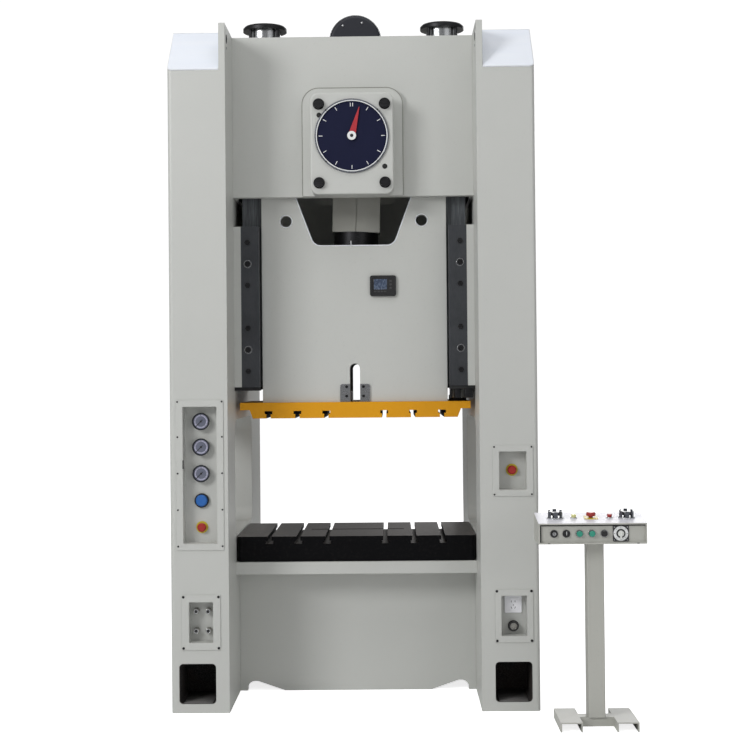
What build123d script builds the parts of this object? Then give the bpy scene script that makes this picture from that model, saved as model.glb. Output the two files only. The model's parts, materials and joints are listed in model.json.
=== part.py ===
from build123d import *
import os
from math import acos, asin, atan2, cos, degrees, pi, radians, sin, sqrt, tan

# Straight-side single-crank stamping press with its loose two-hand console.
# Millimetres, +X right, +Y to the back, +Z up, origin on the floor at the middle of the anchor holes.

# Frame
overall_width = 1820
upright_width = 288
frame_depth = 1770
frame_height = 3415
crank_drop = 543
front_post_ratio = 0.18644
rear_post_ratio = 0.30226
top_cut = 235
inner_plate_thickness = 32
outer_corner_radius = 20
lifting_hole_radius = 18
lifting_hole_inset = 75
lifting_hole_drop = 65
sill_rise = 5
upright_window_height = 600
window_corner_radius = 80
cover_thickness = 6
cover_corner_radius = 26

# Feet and anchor bolts
base_thickness = 45
foot_opening_width = 182
foot_opening_height = 198
foot_opening_radius = 20
foot_opening_shift = 14
foot_chamber_depth = 300
anchor_inset = 150
anchor_hole_radius = 21

# Crown
crown_drop = 287
crown_front_thickness = 50
crown_rear_thickness = 60
crown_top_thickness = 40
crown_side_thickness = 18
crown_rib_thickness = 25
crown_rib_rise = 88
gear_pan_drop = 422
gear_bay_depth = 120
bearing_plate_thickness = 40
gear_pan_thickness = 16
boss_width = 516
boss_rise = 270
boss_thickness = 30
boss_corner_radius = 85

# Angle dial
dial_housing_width = 421
dial_housing_height = 515
dial_housing_depth = 140
dial_housing_wall = 14
dial_housing_drop = 37
dial_housing_radius = 40
dial_ring_radius = 188
dial_face_radius = 175
dial_ring_height = 8
dial_face_thickness = 3
dial_bolt_across_flats = 44
dial_bolt_height = 26
dial_washer_radius = 29
dial_washer_thickness = 4
dial_bolt_pitch_width = 334
dial_bolt_pitch_height = 399
needle_length = 150
needle_root_width = 38
needle_tip_width = 3
needle_thickness = 3
needle_hub_radius = 22
dial_spindle_radius = 12
dial_spindle_hole_radius = 18

# Crank train
crank_radius = 80
crank_angle = 15
crank_pin_radius = 80
crank_pin_length = 220
journal_radius = 90
web_thickness = 60
web_overlap = 22
rod_length = 750
rod_width = 254
rod_depth = 180
rod_body_length = 521
rod_split_groove = 5
rod_nut_radius = 22
rod_nut_sink = 14
adjusting_nut_radius = 120
adjusting_nut_height = 80
adjusting_screw_radius = 55
ball_radius = 65
ball_lift = 24
running_clearance = 0.08
bush_thickness = 22
bush_flange = 18
bush_flange_thickness = 12

# Gears, flywheel and motor
gear_module = 10
main_gear_teeth = 72
pinion_teeth = 16
pressure_angle = 20
dedendum_factor = 1.25
backlash = 0.9
gear_face_width = 90
gear_rim_depth = 46
gear_web_thickness = 36
gear_hub_radius = 135
gear_hole_radius = 48
gear_hole_count = 6
gear_seat_radius = 82
pinion_ratio = 0.402
drive_shaft_radius = 42
brake_disc_radius = 130
brake_disc_thickness = 46
clutch_radius = 150
clutch_thickness = 50
clutch_bolt_circle_radius = 108
clutch_bolt_radius = 10
clutch_bolt_count = 8
flywheel_ratio = 0.5386
flywheel_width = 110
flywheel_rim_depth = 62
flywheel_web_thickness = 34
flywheel_hub_radius = 88
flywheel_front_gap = 14
clutch_gap = 10
guard_back_gap = 22
guard_front_gap = 6
belt_count = 3
belt_pitch = 30
belt_width = 17
belt_depth = 11
belt_clearance = 0.4
pulley_radius = 70
pulley_shaft_radius = 21
motor_shaft_height = 160
guard_stand_off = 89
motor_body_radius = 132
motor_body_length = 410
motor_cowl_radius = 150
motor_cowl_length = 112
motor_cowl_fillet = 22
motor_cowl_wall = 5
motor_fin_count = 20
motor_fin_height = 14
motor_fin_thickness = 5
motor_foot_width = 70
motor_foot_thickness = 18
motor_base_half_width = 106
terminal_box_size = 110
guard_gap = 24
guard_wall = 4
guard_shaft_hole_radius = 42

# Slide
gib_bracket_thickness = 38
slide_rear_gap = 225
slide_bottom_drop = 1349
slide_top_rise = 8
slide_plate_thickness = 40
slide_front_gap = 10
slide_floor_thickness = 50
seat_rib_margin = 100
slide_rib_thickness = 30
seat_plate_thickness = 60
seat_cup_radius = 160
seat_cup_wall = 16
seat_cup_height = 34
window_bottom_drop = 532
window_taper = 89
window_edge_margin = 186
window_high_drop = 292
window_lower_radius = 46
lightening_hole_radius = 29
lightening_hole_inset = 128
shaft_opening_drop = 255
lightening_hole_drop = 406
knockout_width = 52
knockout_height = 199
wing_depth = 60
wing_rise = 89
lug_height = 40
lug_depth = 120
indicator_width = 136
indicator_height = 108
indicator_x = 150
indicator_rise = 602
indicator_thickness = 16
indicator_frame = 12
knockout_bracket_width = 155
knockout_bracket_height = 93
knockout_bracket_thickness = 10
knockout_bracket_radius = 12

# Slide plate and bolster
slide_plate_height = 82
slide_flange_height = 38
slide_flange_gap = 24
slide_plate_upper_step = 50
slide_plate_lower_step = 67
slide_plate_overhang = 60
tslot_edge = 168
tslot_neck = 22
tslot_head = 40
tslot_head_height = 16
tslot_depth = 38
bolster_gap = 4
bed_ratio = 0.205
bolster_height = 130
bolster_overhang = 80
bolster_corner_radius = 22
cross_groove_width = 24
cross_groove_depth = 12

# Guides
gib_rise = 81
gib_top_gap = 150
gib_width = 94
gib_thickness = 96
gib_side_gap = 9
guide_clearance = 0.5
gib_bolt_pitch = 111
gib_bolt_radius = 15
gib_bolt_height = 10
gib_bolt_offset = 12

# Bed
lip_height = 63
lip_thickness = 40
bed_top_thickness = 45
apron_setback = 190
apron_thickness = 40
bed_rib_x = 300
bed_rib_thickness = 30
arch_outer_inset = 38
arch_high_inset = 92
arch_corner_radius = 40
arch_ease_radius = 30
arch_inner_inset = 237
arch_height = 50

# Counterbalance cylinders
balance_inset = 142
balance_tube_radius = 85
balance_bore_radius = 75
balance_tube_rise = 112
balance_tube_drop = 305
balance_flange_radius = 118
balance_flange_thickness = 20
balance_cap_height = 26
balance_cap_step = 10
tie_rod_radius = 9
tie_rod_circle = 102
balance_rod_radius = 25
balance_piston_height = 40
balance_piston_drop = 70
piston_clearance = 0.4

# Boxes let into the uprights
flange_thickness = 4
sheet_thickness = 3
recess_depth = 70
pocket_depth = 112
pocket_gap = 3
box_corner_radius = 6
left_box_shift = 5
right_box_shift = 18
panel_frame_width = 235
panel_frame_height = 743
panel_opening_width = 168
panel_opening_height = 676
panel_centre_z = 1174
stop_frame_width = 201
stop_frame_height = 252
stop_opening_width = 135
stop_opening_height = 189
stop_centre_z = 1184
air_frame_width = 193
air_frame_height = 272
air_opening_width = 119
air_opening_height = 200
air_centre_z = 447
power_frame_width = 188
power_frame_height = 262
power_opening_width = 126
power_opening_height = 198
power_centre_z = 469

# Instruments and operating parts
gauge_radius = 43
gauge_depth = 34
gauge_rim = 5
gauge_recess = 9
gauge_heights = (1438, 1311, 1179)
gauge_needle_length = 46
gauge_needle_width = 3
gauge_needle_thickness = 1.5
gauge_needle_hub_radius = 5
gauge_needle_angle = 225
blue_button_z = 1044
blue_button_radius = 29
blue_button_height = 16
left_stop_z = 911
stop_radius = 22
stop_head_height = 16
stop_neck_radius = 13
stop_neck_height = 12
stop_ring_radius = 30
stop_ring_thickness = 3
stem_radius = 10
stem_length = 22
stem_clearance = 0.6
button_lift = 9
nipple_radius = 13
nipple_length = 34
nipple_hex = 30
nipple_spacing_x = 60
nipple_spacing_z = 97
socket_plate_size = 86
socket_plate_thickness = 9
socket_plate_radius = 6
socket_plate_z = 517
connector_radius = 27
connector_shell_radius = 22
connector_bore_radius = 17
connector_length = 30
connector_z = 410

# Console
console_post_inset = 276
foot_width = 102
foot_length = 300
foot_height = 45
foot_wall = 6
foot_pitch = 262
foot_centre_depth = -288
cross_bar_width = 70
post_width = 80
post_depth = 100
post_top = 869
console_box_width = 503
console_side_overlap = 46
console_box_front_depth = -440
console_box_depth = 213
console_front_top = 966
console_rear_top = 997
console_wall = 3
console_hood = 14
console_recess_margin = 7
palm_button_pitch = 334
palm_button_inset = 89
palm_button_radius = 23
palm_button_height = 14
palm_guard_radius = 34
palm_guard_height = 30
palm_guard_wall = 4
palm_base_radius = 36
palm_base_height = 6
console_stop_inset = 256
console_stop_plate = 62
small_button_radius = 12
small_button_height = 9
small_button_insets = (176, 344)
front_button_radius = 14
front_button_height = 11
front_bezel_radius = 18
front_bezel_thickness = 4
front_control_z = 917
key_switch_inset = 73
selector_inset = 130
green_button_insets = (191, 249)
black_button_inset = 306
cam_switch_inset = 382
cam_plate_size = 74
cam_knob_radius = 14
cam_knob_height = 20
cam_grip_width = 7
knob_edge = 1
knob_gap = 0.3
stem_small_radius = 6
deck_control_inset = 106

# Places worked out from the sizes above
half_width = overall_width / 2
throat_half = half_width - upright_width
front_y = -frame_depth / 2
rear_y = frame_depth / 2
front_post_depth = round(frame_depth * front_post_ratio)
rear_post_depth = round(frame_depth * rear_post_ratio)
inner_front_y = front_y + front_post_depth
window_rear_y = rear_y - rear_post_depth
upright_centre_x = half_width - upright_width / 2
foot_x = upright_centre_x + foot_opening_shift
anchor_y = frame_depth / 2 - anchor_inset
slide_front_y = inner_front_y + crown_front_thickness + slide_front_gap
slide_depth = window_rear_y - slide_front_y - slide_rear_gap
slide_plate_depth = slide_depth + slide_plate_overhang
bolster_depth = slide_depth + bolster_overhang
axis_y = slide_front_y + slide_depth / 2
slide_rear_y = slide_front_y + slide_depth
boss_front_y = inner_front_y - boss_thickness
housing_front_y = boss_front_y - dial_housing_depth
bearing_plate_front_y = window_rear_y + crown_rear_thickness + gear_bay_depth
bearing_plate_rear_y = bearing_plate_front_y + bearing_plate_thickness
crank_height = frame_height - crank_drop
crown_bottom = crank_height - crown_drop
crown_rib_bottom = crank_height + crown_rib_rise
rear_plate_bottom = crank_height - gear_pan_drop
boss_top = crank_height + boss_rise
balance_tube_top = frame_height + balance_tube_rise
balance_tube_bottom = frame_height - balance_tube_drop
slide_bottom = crank_height - slide_bottom_drop
slide_top = crank_height + slide_top_rise
window_bottom = crank_height - window_bottom_drop
shaft_opening_bottom = crank_height - shaft_opening_drop
window_high = crank_height - window_high_drop
lightening_hole_z = crank_height - lightening_hole_drop
knockout_top = slide_bottom + knockout_height
wing_bottom = slide_bottom + wing_rise
indicator_z = slide_bottom + indicator_rise
gib_bottom = slide_bottom + gib_rise
gib_top = crown_bottom - gib_top_gap
bolster_bottom = round(frame_height * bed_ratio)
bolster_top = bolster_bottom + bolster_height
slide_plate_bottom = slide_bottom - slide_plate_height
lip_bottom = bolster_bottom - lip_height
window_sill = bolster_top + sill_rise
window_head = window_sill + upright_window_height
pin_x = crank_radius * sin(radians(crank_angle))
pin_z = crank_height + crank_radius * cos(radians(crank_angle))
rod_tilt = asin(pin_x / rod_length)
ball_z = pin_z - rod_length * cos(rod_tilt)
seat_top = ball_z - ball_radius - ball_lift
pinion_offset = round(throat_half * pinion_ratio)
flywheel_radius = round(throat_half * flywheel_ratio)
centre_distance = gear_module * (main_gear_teeth + pinion_teeth) / 2
pinion_z = crank_height + sqrt(centre_distance**2 - pinion_offset**2)
mesh_angle = degrees(atan2(pinion_z - crank_height, pinion_offset))
gear_front_y = window_rear_y + crown_rear_thickness + (gear_bay_depth - gear_face_width) / 2
gear_rear_y = gear_front_y + gear_face_width
guard_front_y = bearing_plate_rear_y + guard_stand_off
motor_rear_y = guard_front_y - guard_front_gap
motor_front_y = motor_rear_y - motor_body_length
flywheel_front_y = guard_front_y + guard_wall + flywheel_front_gap
flywheel_rear_y = flywheel_front_y + flywheel_width
flywheel_middle_y = flywheel_front_y + flywheel_width / 2
clutch_front_y = flywheel_rear_y + clutch_gap
clutch_rear_y = clutch_front_y + clutch_thickness
guard_rear_y = clutch_rear_y + guard_back_gap
motor_z = frame_height + motor_shaft_height
gib_outer = throat_half - gib_bracket_thickness
gib_inner = gib_outer - gib_width
slide_half = gib_inner - gib_side_gap
slide_rib_gap = 2 * (seat_cup_radius + seat_rib_margin)
window_half_width_high = slide_half - window_edge_margin
window_half_width_bottom = window_half_width_high - window_taper
lightening_hole_x = slide_half - lightening_hole_inset
balance_x = throat_half - balance_inset
bolster_half = throat_half - bolster_gap
tslot_pitch = (bolster_half - tslot_edge) / 3
cross_groove_half_length = tslot_pitch * 5 / 3
slide_flange_half_width = throat_half - slide_flange_gap
slide_plate_half_width_high = slide_flange_half_width - slide_plate_upper_step
slide_plate_half_width_low = slide_flange_half_width - slide_plate_lower_step
arch_outer_x = throat_half - arch_outer_inset
arch_high_inner_x = throat_half - arch_high_inset
arch_inner_x = throat_half - arch_inner_inset
console_box_left = half_width - console_side_overlap
console_x = console_box_left + console_post_inset
palm_button_x = console_box_left + palm_button_inset
console_stop_x = console_box_left + console_stop_inset
key_switch_x = console_box_left + key_switch_inset
selector_x = console_box_left + selector_inset
black_button_x = console_box_left + black_button_inset
cam_switch_x = console_box_left + cam_switch_inset
small_button_xs = tuple(console_box_left + inset for inset in small_button_insets)
green_button_xs = tuple(console_box_left + inset for inset in green_button_insets)
deck_tilt = atan2(console_rear_top - console_front_top, console_box_depth)
console_front_y = front_y + console_box_front_depth
console_rear_y = console_front_y + console_box_depth
console_panel_y = console_front_y + console_hood


def save(builder, label):
    """Label a finished piece and write it as its own STEP file."""
    builder.part.label = label
    export_step(builder.part, f"parts/{label}.step")


def front_plane(y, x=0, z=0):
    """A plane facing the operator: its x is +X, its y is +Z and its normal is -Y."""
    return Plane(origin=(x, y, z), x_dir=(1, 0, 0), z_dir=(0, -1, 0))


def side_plane(x):
    """A plane facing +X: its x is +Y and its y is +Z."""
    return Plane(origin=(x, 0, 0), x_dir=(0, 1, 0), z_dir=(1, 0, 0))


def block(x, y, z, mode=Mode.ADD):
    """A rectangular block between two limits along each axis."""
    with Locations(((x[0] + x[1]) / 2, (y[0] + y[1]) / 2, (z[0] + z[1]) / 2)):
        Box(x[1] - x[0], y[1] - y[0], z[1] - z[0], mode=mode)


def bar_y(radius, x, y, z, mode=Mode.ADD):
    """A round bar along Y between the limits y."""
    with BuildSketch(front_plane(y[0], x, z)) as outline:
        Circle(radius)
    extrude(outline.sketch, amount=y[0] - y[1], mode=mode)


def bar_z(radius, x, y, z, mode=Mode.ADD):
    """A round bar along Z between the limits z."""
    with BuildSketch(Plane.XY.offset(z[0])) as outline:
        with Locations((x, y)):
            Circle(radius)
    extrude(outline.sketch, amount=z[1] - z[0], mode=mode)


def front_prism(width, height, radius, x, y, z, mode=Mode.ADD):
    """A rounded rectangle centred on x and z, between the limits y."""
    with BuildSketch(front_plane(y[0], x, z)) as outline:
        RectangleRounded(width, height, radius)
    extrude(outline.sketch, amount=y[0] - y[1], mode=mode)


def mirrored(low, high, side):
    """The limits low and high on the right side, or their mirror image on the left side."""
    return (low, high) if side > 0 else (-high, -low)


# Uprights: closed box columns with a cut top corner, a window, foot chambers and pockets for boxes
right_pockets = (
    (right_box_shift, stop_centre_z, stop_opening_width, stop_opening_height),
    (right_box_shift, power_centre_z, power_opening_width, power_opening_height),
)
left_pockets = (
    (left_box_shift, panel_centre_z, panel_opening_width, panel_opening_height),
    (left_box_shift, air_centre_z, air_opening_width, air_opening_height),
)

for side, label, pockets in ((-1, "left_upright", left_pockets), (1, "right_upright", right_pockets)):
    with BuildPart() as upright:
        with BuildSketch(Plane.XY) as footprint:
            with Locations((side * (throat_half + half_width) / 2, 0)):
                Rectangle(upright_width, frame_depth)
            fillet(footprint.vertices().sort_by(lambda v: side * v.X)[-2:], outer_corner_radius)
        extrude(amount=frame_height)
        cut_x = mirrored(throat_half + inner_plate_thickness, half_width + 1, side)
        with BuildSketch(side_plane(cut_x[0])):
            with BuildLine():
                Polyline(
                    (front_y, frame_height - top_cut),
                    (front_y + top_cut, frame_height),
                    (front_y, frame_height),
                    close=True,
                )
            make_face()
        extrude(amount=cut_x[1] - cut_x[0], mode=Mode.SUBTRACT)
        window_x = mirrored(throat_half, half_width, side)
        with BuildSketch(side_plane(window_x[0])) as window:
            with Locations(((inner_front_y + window_rear_y) / 2, (window_sill + window_head) / 2)):
                Rectangle(window_rear_y - inner_front_y, window_head - window_sill)
            fillet(window.vertices(), window_corner_radius)
        extrude(amount=upright_width, mode=Mode.SUBTRACT)
        with BuildSketch(side_plane(window_x[0])):
            with Locations((front_y + lifting_hole_inset, frame_height - lifting_hole_drop)):
                Circle(lifting_hole_radius)
        extrude(amount=upright_width, mode=Mode.SUBTRACT)
        for chamber_y in ((front_y, front_y + foot_chamber_depth), (rear_y - foot_chamber_depth, rear_y)):
            front_prism(
                foot_opening_width,
                foot_opening_height,
                foot_opening_radius,
                side * foot_x,
                chamber_y,
                base_thickness + foot_opening_height / 2,
                Mode.SUBTRACT,
            )
        for hole_y in (-anchor_y, anchor_y):
            bar_z(anchor_hole_radius, side * foot_x, hole_y, (0, base_thickness), Mode.SUBTRACT)
        for shift, centre_z, width, height in pockets:
            pocket_x = side * upright_centre_x + shift
            half_pocket_width = width / 2 + sheet_thickness + pocket_gap
            half_pocket_height = height / 2 + sheet_thickness + pocket_gap
            block(
                (pocket_x - half_pocket_width, pocket_x + half_pocket_width),
                (front_y, front_y + pocket_depth),
                (centre_z - half_pocket_height, centre_z + half_pocket_height),
                Mode.SUBTRACT,
            )
    save(upright, label)

# Bright cover plates on the two cut corners
slope_length = top_cut * sqrt(2)
cover_width = upright_width - inner_plate_thickness
with BuildPart() as upright_covers:
    for side in (-1, 1):
        cover_x = side * (half_width - cover_width / 2)
        cover_plane = Plane(
            origin=(cover_x, front_y + top_cut / 2, frame_height - top_cut / 2),
            x_dir=(1, 0, 0),
            z_dir=(0, -1, 1),
        )
        with BuildSketch(cover_plane) as cover:
            Rectangle(cover_width, slope_length)
            outer = cover.vertices().group_by(Axis.Y)[0].sort_by(lambda v: side * v.X)[-1]
            fillet(outer, cover_corner_radius)
        extrude(amount=cover_thickness)
save(upright_covers, "upright_covers")

# Crown: open-bottomed box between the uprights, with a gear bay behind its rear plate
with BuildPart() as crown:
    side_x = (-throat_half, throat_half)
    front_plate_rear_y = inner_front_y + crown_front_thickness
    rear_plate_rear_y = window_rear_y + crown_rear_thickness
    block(side_x, (inner_front_y, front_plate_rear_y), (crown_bottom, frame_height))
    block(side_x, (window_rear_y, rear_plate_rear_y), (rear_plate_bottom, frame_height))
    block(side_x, (bearing_plate_front_y, bearing_plate_rear_y), (rear_plate_bottom, frame_height))
    block(side_x, (inner_front_y, guard_front_y), (frame_height - crown_top_thickness, frame_height))
    pan_z = (rear_plate_bottom, rear_plate_bottom + gear_pan_thickness)
    block(side_x, (window_rear_y, bearing_plate_rear_y), pan_z)
    for side in (-1, 1):
        web_x = mirrored(throat_half - crown_side_thickness, throat_half, side)
        block(web_x, (inner_front_y, bearing_plate_rear_y), (crown_bottom, frame_height))
        rib_outer = balance_x - balance_flange_radius
        rib_x = mirrored(rib_outer - crown_rib_thickness, rib_outer, side)
        rib_y = (inner_front_y, slide_front_y + slide_plate_thickness)
        block(rib_x, rib_y, (crown_rib_bottom, frame_height))
        bar_z(
            balance_tube_radius + piston_clearance,
            side * balance_x,
            axis_y,
            (frame_height - crown_top_thickness, frame_height),
            Mode.SUBTRACT,
        )
    with BuildSketch(front_plane(inner_front_y)) as boss:
        with Locations((0, (crown_bottom + boss_top) / 2)):
            Rectangle(boss_width, boss_top - crown_bottom)
        fillet(boss.vertices().group_by(Axis.Y)[-1], boss_corner_radius)
    extrude(amount=boss_thickness)
    bush_hole_radius = journal_radius + bush_thickness
    bar_y(bush_hole_radius, 0, (boss_front_y, rear_plate_rear_y), crank_height, Mode.SUBTRACT)
    drive_hole_radius = drive_shaft_radius + bush_thickness
    bar_y(drive_hole_radius, pinion_offset, (window_rear_y, bearing_plate_rear_y), pinion_z, Mode.SUBTRACT)
save(crown, "crown")

# Bed: top plate with a front lip on two aprons, with low arches at the floor
apron_front_y = inner_front_y + apron_setback
apron_rear_y = 2 * axis_y - apron_front_y
with BuildPart() as bed:
    block(side_x, (inner_front_y, window_rear_y), (bolster_bottom - bed_top_thickness, bolster_bottom))
    block(side_x, (inner_front_y, inner_front_y + lip_thickness), (lip_bottom, bolster_bottom))
    block(side_x, (window_rear_y - lip_thickness, window_rear_y), (lip_bottom, bolster_bottom))
    block(side_x, (apron_front_y, apron_front_y + apron_thickness), (0, bolster_bottom))
    block(side_x, (apron_rear_y - apron_thickness, apron_rear_y), (0, bolster_bottom))
    for side in (-1, 1):
        rib_x = mirrored(bed_rib_x, bed_rib_x + bed_rib_thickness, side)
        block(rib_x, (apron_front_y, apron_rear_y), (arch_height, bolster_bottom))
        with BuildSketch(front_plane(apron_front_y)) as arch:
            with BuildLine():
                Polyline(
                    (side * arch_inner_x, 0),
                    (side * arch_high_inner_x, arch_height),
                    (side * arch_outer_x, arch_height),
                    (side * arch_outer_x, 0),
                    close=True,
                )
            make_face()
            inner_corner = arch.vertices().group_by(Axis.Y)[-1].sort_by(lambda v: side * v.X)[0]
            fillet(inner_corner, arch_ease_radius)
            outer_corner = arch.vertices().group_by(Axis.Y)[-1].sort_by(lambda v: side * v.X)[-1]
            fillet(outer_corner, arch_corner_radius)
        extrude(amount=apron_front_y - apron_rear_y, mode=Mode.SUBTRACT)
save(bed, "bed")

# Dial housing: a square box with rounded corners, open at the back
housing_z = crank_height - dial_housing_drop
with BuildPart() as dial_housing:
    front_prism(
        dial_housing_width,
        dial_housing_height,
        dial_housing_radius,
        0,
        (housing_front_y, boss_front_y),
        housing_z,
    )
    front_prism(
        dial_housing_width - 2 * dial_housing_wall,
        dial_housing_height - 2 * dial_housing_wall,
        dial_housing_radius - dial_housing_wall,
        0,
        (housing_front_y + dial_housing_wall, boss_front_y),
        housing_z,
        Mode.SUBTRACT,
    )
    fillet(dial_housing.faces().sort_by(Axis.Y)[0].outer_wire().edges(), dial_ring_height)
    wall_y = (housing_front_y, housing_front_y + dial_housing_wall)
    bar_y(dial_spindle_hole_radius, 0, wall_y, crank_height, Mode.SUBTRACT)
save(dial_housing, "dial_housing")

with BuildPart() as dial_bolts:
    with BuildSketch(front_plane(housing_front_y, 0, housing_z)):
        with GridLocations(dial_bolt_pitch_width, dial_bolt_pitch_height, 2, 2):
            RegularPolygon(dial_bolt_across_flats / 2, 6, major_radius=False, rotation=30)
    extrude(amount=dial_bolt_height)
    with BuildSketch(front_plane(housing_front_y, 0, housing_z)):
        with GridLocations(dial_bolt_pitch_width, dial_bolt_pitch_height, 2, 2):
            Circle(dial_washer_radius)
    extrude(amount=dial_washer_thickness)
save(dial_bolts, "dial_bolts")

face_y = housing_front_y - dial_face_thickness
with BuildPart() as dial_face:
    ring_y = (housing_front_y - dial_ring_height, housing_front_y)
    bar_y(dial_ring_radius, 0, ring_y, crank_height)
    bar_y(dial_face_radius, 0, (ring_y[0], face_y), crank_height, Mode.SUBTRACT)
    bar_y(dial_spindle_hole_radius, 0, ring_y, crank_height, Mode.SUBTRACT)
save(dial_face, "dial_face")

# Bearing bushes of the crankshaft and the drive shaft, each with a flange on the plate that holds it
with BuildPart() as bearings:
    bush_seats = (
        (0, crank_height, journal_radius, boss_front_y + boss_thickness, front_plate_rear_y, 1),
        (0, crank_height, journal_radius, window_rear_y, rear_plate_rear_y, -1),
        (pinion_offset, pinion_z, drive_shaft_radius, window_rear_y, rear_plate_rear_y, -1),
        (pinion_offset, pinion_z, drive_shaft_radius, bearing_plate_front_y, bearing_plate_rear_y, 1),
    )
    for x, z, shaft_radius, plate_front, plate_rear, flange_side in bush_seats:
        bar_y(shaft_radius + bush_thickness, x, (plate_front, plate_rear), z)
        if flange_side > 0:
            collar_y = (plate_rear, plate_rear + bush_flange_thickness)
        else:
            collar_y = (plate_front - bush_flange_thickness, plate_front)
        bar_y(shaft_radius + bush_thickness + bush_flange, x, collar_y, z)
        bore_y = (min(plate_front, collar_y[0]), max(plate_rear, collar_y[1]))
        bar_y(shaft_radius + running_clearance, x, bore_y, z, Mode.SUBTRACT)
save(bearings, "bearings")

# Crankshaft: journals, two webs, a pin, a gear seat and a thin spindle for the dial needle
pin_front_y = axis_y - crank_pin_length / 2
pin_rear_y = axis_y + crank_pin_length / 2
needle_front_y = housing_front_y - dial_ring_height - needle_thickness
needle_rear_y = housing_front_y - dial_ring_height
with BuildPart() as crankshaft:
    bar_y(dial_spindle_radius, 0, (needle_rear_y, inner_front_y), crank_height)
    bar_y(journal_radius, 0, (inner_front_y, pin_front_y - web_thickness), crank_height)
    bar_y(journal_radius, 0, (pin_rear_y + web_thickness, rear_plate_rear_y), crank_height)
    bar_y(gear_seat_radius, 0, (rear_plate_rear_y, gear_rear_y + bush_flange_thickness), crank_height)
    bar_y(crank_pin_radius, pin_x, (pin_front_y, pin_rear_y), pin_z)
    for web_y in (pin_front_y - web_thickness, pin_rear_y):
        with BuildSketch(front_plane(web_y)) as web:
            with Locations((0, crank_height)):
                Circle(journal_radius + web_overlap)
            with Locations((pin_x, pin_z)):
                Circle(crank_pin_radius + web_overlap)
            make_hull()
        extrude(amount=-web_thickness)
save(crankshaft, "crankshaft")

# Needle of the angle dial, turned with the crankshaft
needle_plane = Plane(
    origin=(0, needle_rear_y, crank_height),
    x_dir=(cos(radians(crank_angle)), 0, -sin(radians(crank_angle))),
    z_dir=(0, -1, 0),
)
with BuildPart() as dial_needle:
    with BuildSketch(needle_plane):
        with BuildLine():
            Polyline(
                (-needle_root_width / 2, 0),
                (-needle_tip_width / 2, needle_length),
                (needle_tip_width / 2, needle_length),
                (needle_root_width / 2, 0),
                close=True,
            )
        make_face()
        Circle(needle_hub_radius)
    extrude(amount=needle_thickness)
    bar_y(dial_spindle_radius, 0, (needle_front_y - needle_thickness, needle_front_y), crank_height)
save(dial_needle, "dial_needle")

# Connecting rod: a flat-sided rod with a round cap on the crank pin, tilted with the crank
rod_plane = Plane(
    origin=(pin_x, axis_y, pin_z),
    x_dir=(cos(rod_tilt), 0, -sin(rod_tilt)),
    z_dir=(0, -1, 0),
)
rod_half_depth = rod_depth / 2
with BuildPart() as connecting_rod:
    with BuildSketch(rod_plane):
        Circle(rod_width / 2)
        with Locations((0, -rod_body_length / 2)):
            Rectangle(rod_width, rod_body_length)
    extrude(amount=rod_half_depth, both=True)
    with BuildSketch(rod_plane):
        Circle(crank_pin_radius + running_clearance)
    extrude(amount=rod_half_depth, both=True, mode=Mode.SUBTRACT)
    groove_length = rod_body_length - rod_width
    with BuildSketch(rod_plane.offset(rod_half_depth)):
        with Locations((0, -rod_body_length + groove_length / 2)):
            Rectangle(rod_split_groove, groove_length)
    extrude(amount=-rod_split_groove, mode=Mode.SUBTRACT)
    nut_spacing = crank_pin_radius + rod_width / 2
    with BuildSketch(Plane(rod_plane.origin, x_dir=rod_plane.x_dir, z_dir=rod_plane.y_dir)):
        with GridLocations(nut_spacing, rod_depth / 2, 2, 2):
            RegularPolygon(rod_nut_radius, 6)
    extrude(amount=rod_width / 2 - rod_nut_sink)
save(connecting_rod, "connecting_rod")

# Adjusting nut, screw and ball under the rod
with BuildPart() as adjusting_screw:
    with BuildSketch(rod_plane):
        with BuildLine():
            nut_top = -rod_body_length
            nut_bottom = nut_top - adjusting_nut_height
            neck_y = -rod_length + sqrt(ball_radius**2 - adjusting_screw_radius**2 / 2)
            neck_x = adjusting_screw_radius / sqrt(2)
            Polyline(
                (0, nut_top),
                (adjusting_nut_radius, nut_top),
                (adjusting_nut_radius, nut_bottom),
                (adjusting_screw_radius, nut_bottom),
                (adjusting_screw_radius, neck_y + adjusting_screw_radius),
                (neck_x, neck_y),
            )
            ThreePointArc((neck_x, neck_y), (ball_radius, -rod_length), (0, -rod_length - ball_radius))
            Line((0, -rod_length - ball_radius), (0, nut_top))
        make_face()
    revolve(axis=Axis(origin=rod_plane.origin, direction=rod_plane.y_dir))
save(adjusting_screw, "adjusting_screw")


def gear_profile(teeth, first_tooth_angle):
    """The outline of an involute spur gear, as points around its centre."""
    pitch_radius = gear_module * teeth / 2
    base_radius = pitch_radius * cos(radians(pressure_angle))
    tip_radius = pitch_radius + gear_module
    root_radius = pitch_radius - dedendum_factor * gear_module
    half_thickness = (pi * gear_module - backlash) / (4 * pitch_radius)
    base_half_angle = half_thickness + tan(radians(pressure_angle)) - radians(pressure_angle)
    points = []
    for tooth in range(teeth):
        middle = radians(first_tooth_angle) + 2 * pi * tooth / teeth
        flank = []
        for radius in sorted({root_radius, max(base_radius, root_radius), pitch_radius, tip_radius}):
            roll = acos(min(1, base_radius / radius))
            flank.append((radius, base_half_angle - (tan(roll) - roll)))
        rising = [(radius, middle - angle) for radius, angle in flank]
        falling = [(radius, middle + angle) for radius, angle in reversed(flank)]
        points += [(radius * cos(angle), radius * sin(angle)) for radius, angle in rising + falling]
    return points


def lightened_disc(outer_radius, hub_radius, web, x, y, z):
    """Cut a ring-shaped pocket into both faces of a wheel, leaving a web in the middle."""
    depth = (y[1] - y[0] - web) / 2
    for face_y, inward in ((y[0], -depth), (y[1], depth)):
        with BuildSketch(front_plane(face_y, x, z)) as pocket:
            Circle(outer_radius)
            Circle(hub_radius, mode=Mode.SUBTRACT)
        extrude(pocket.sketch, amount=inward, mode=Mode.SUBTRACT)


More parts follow.
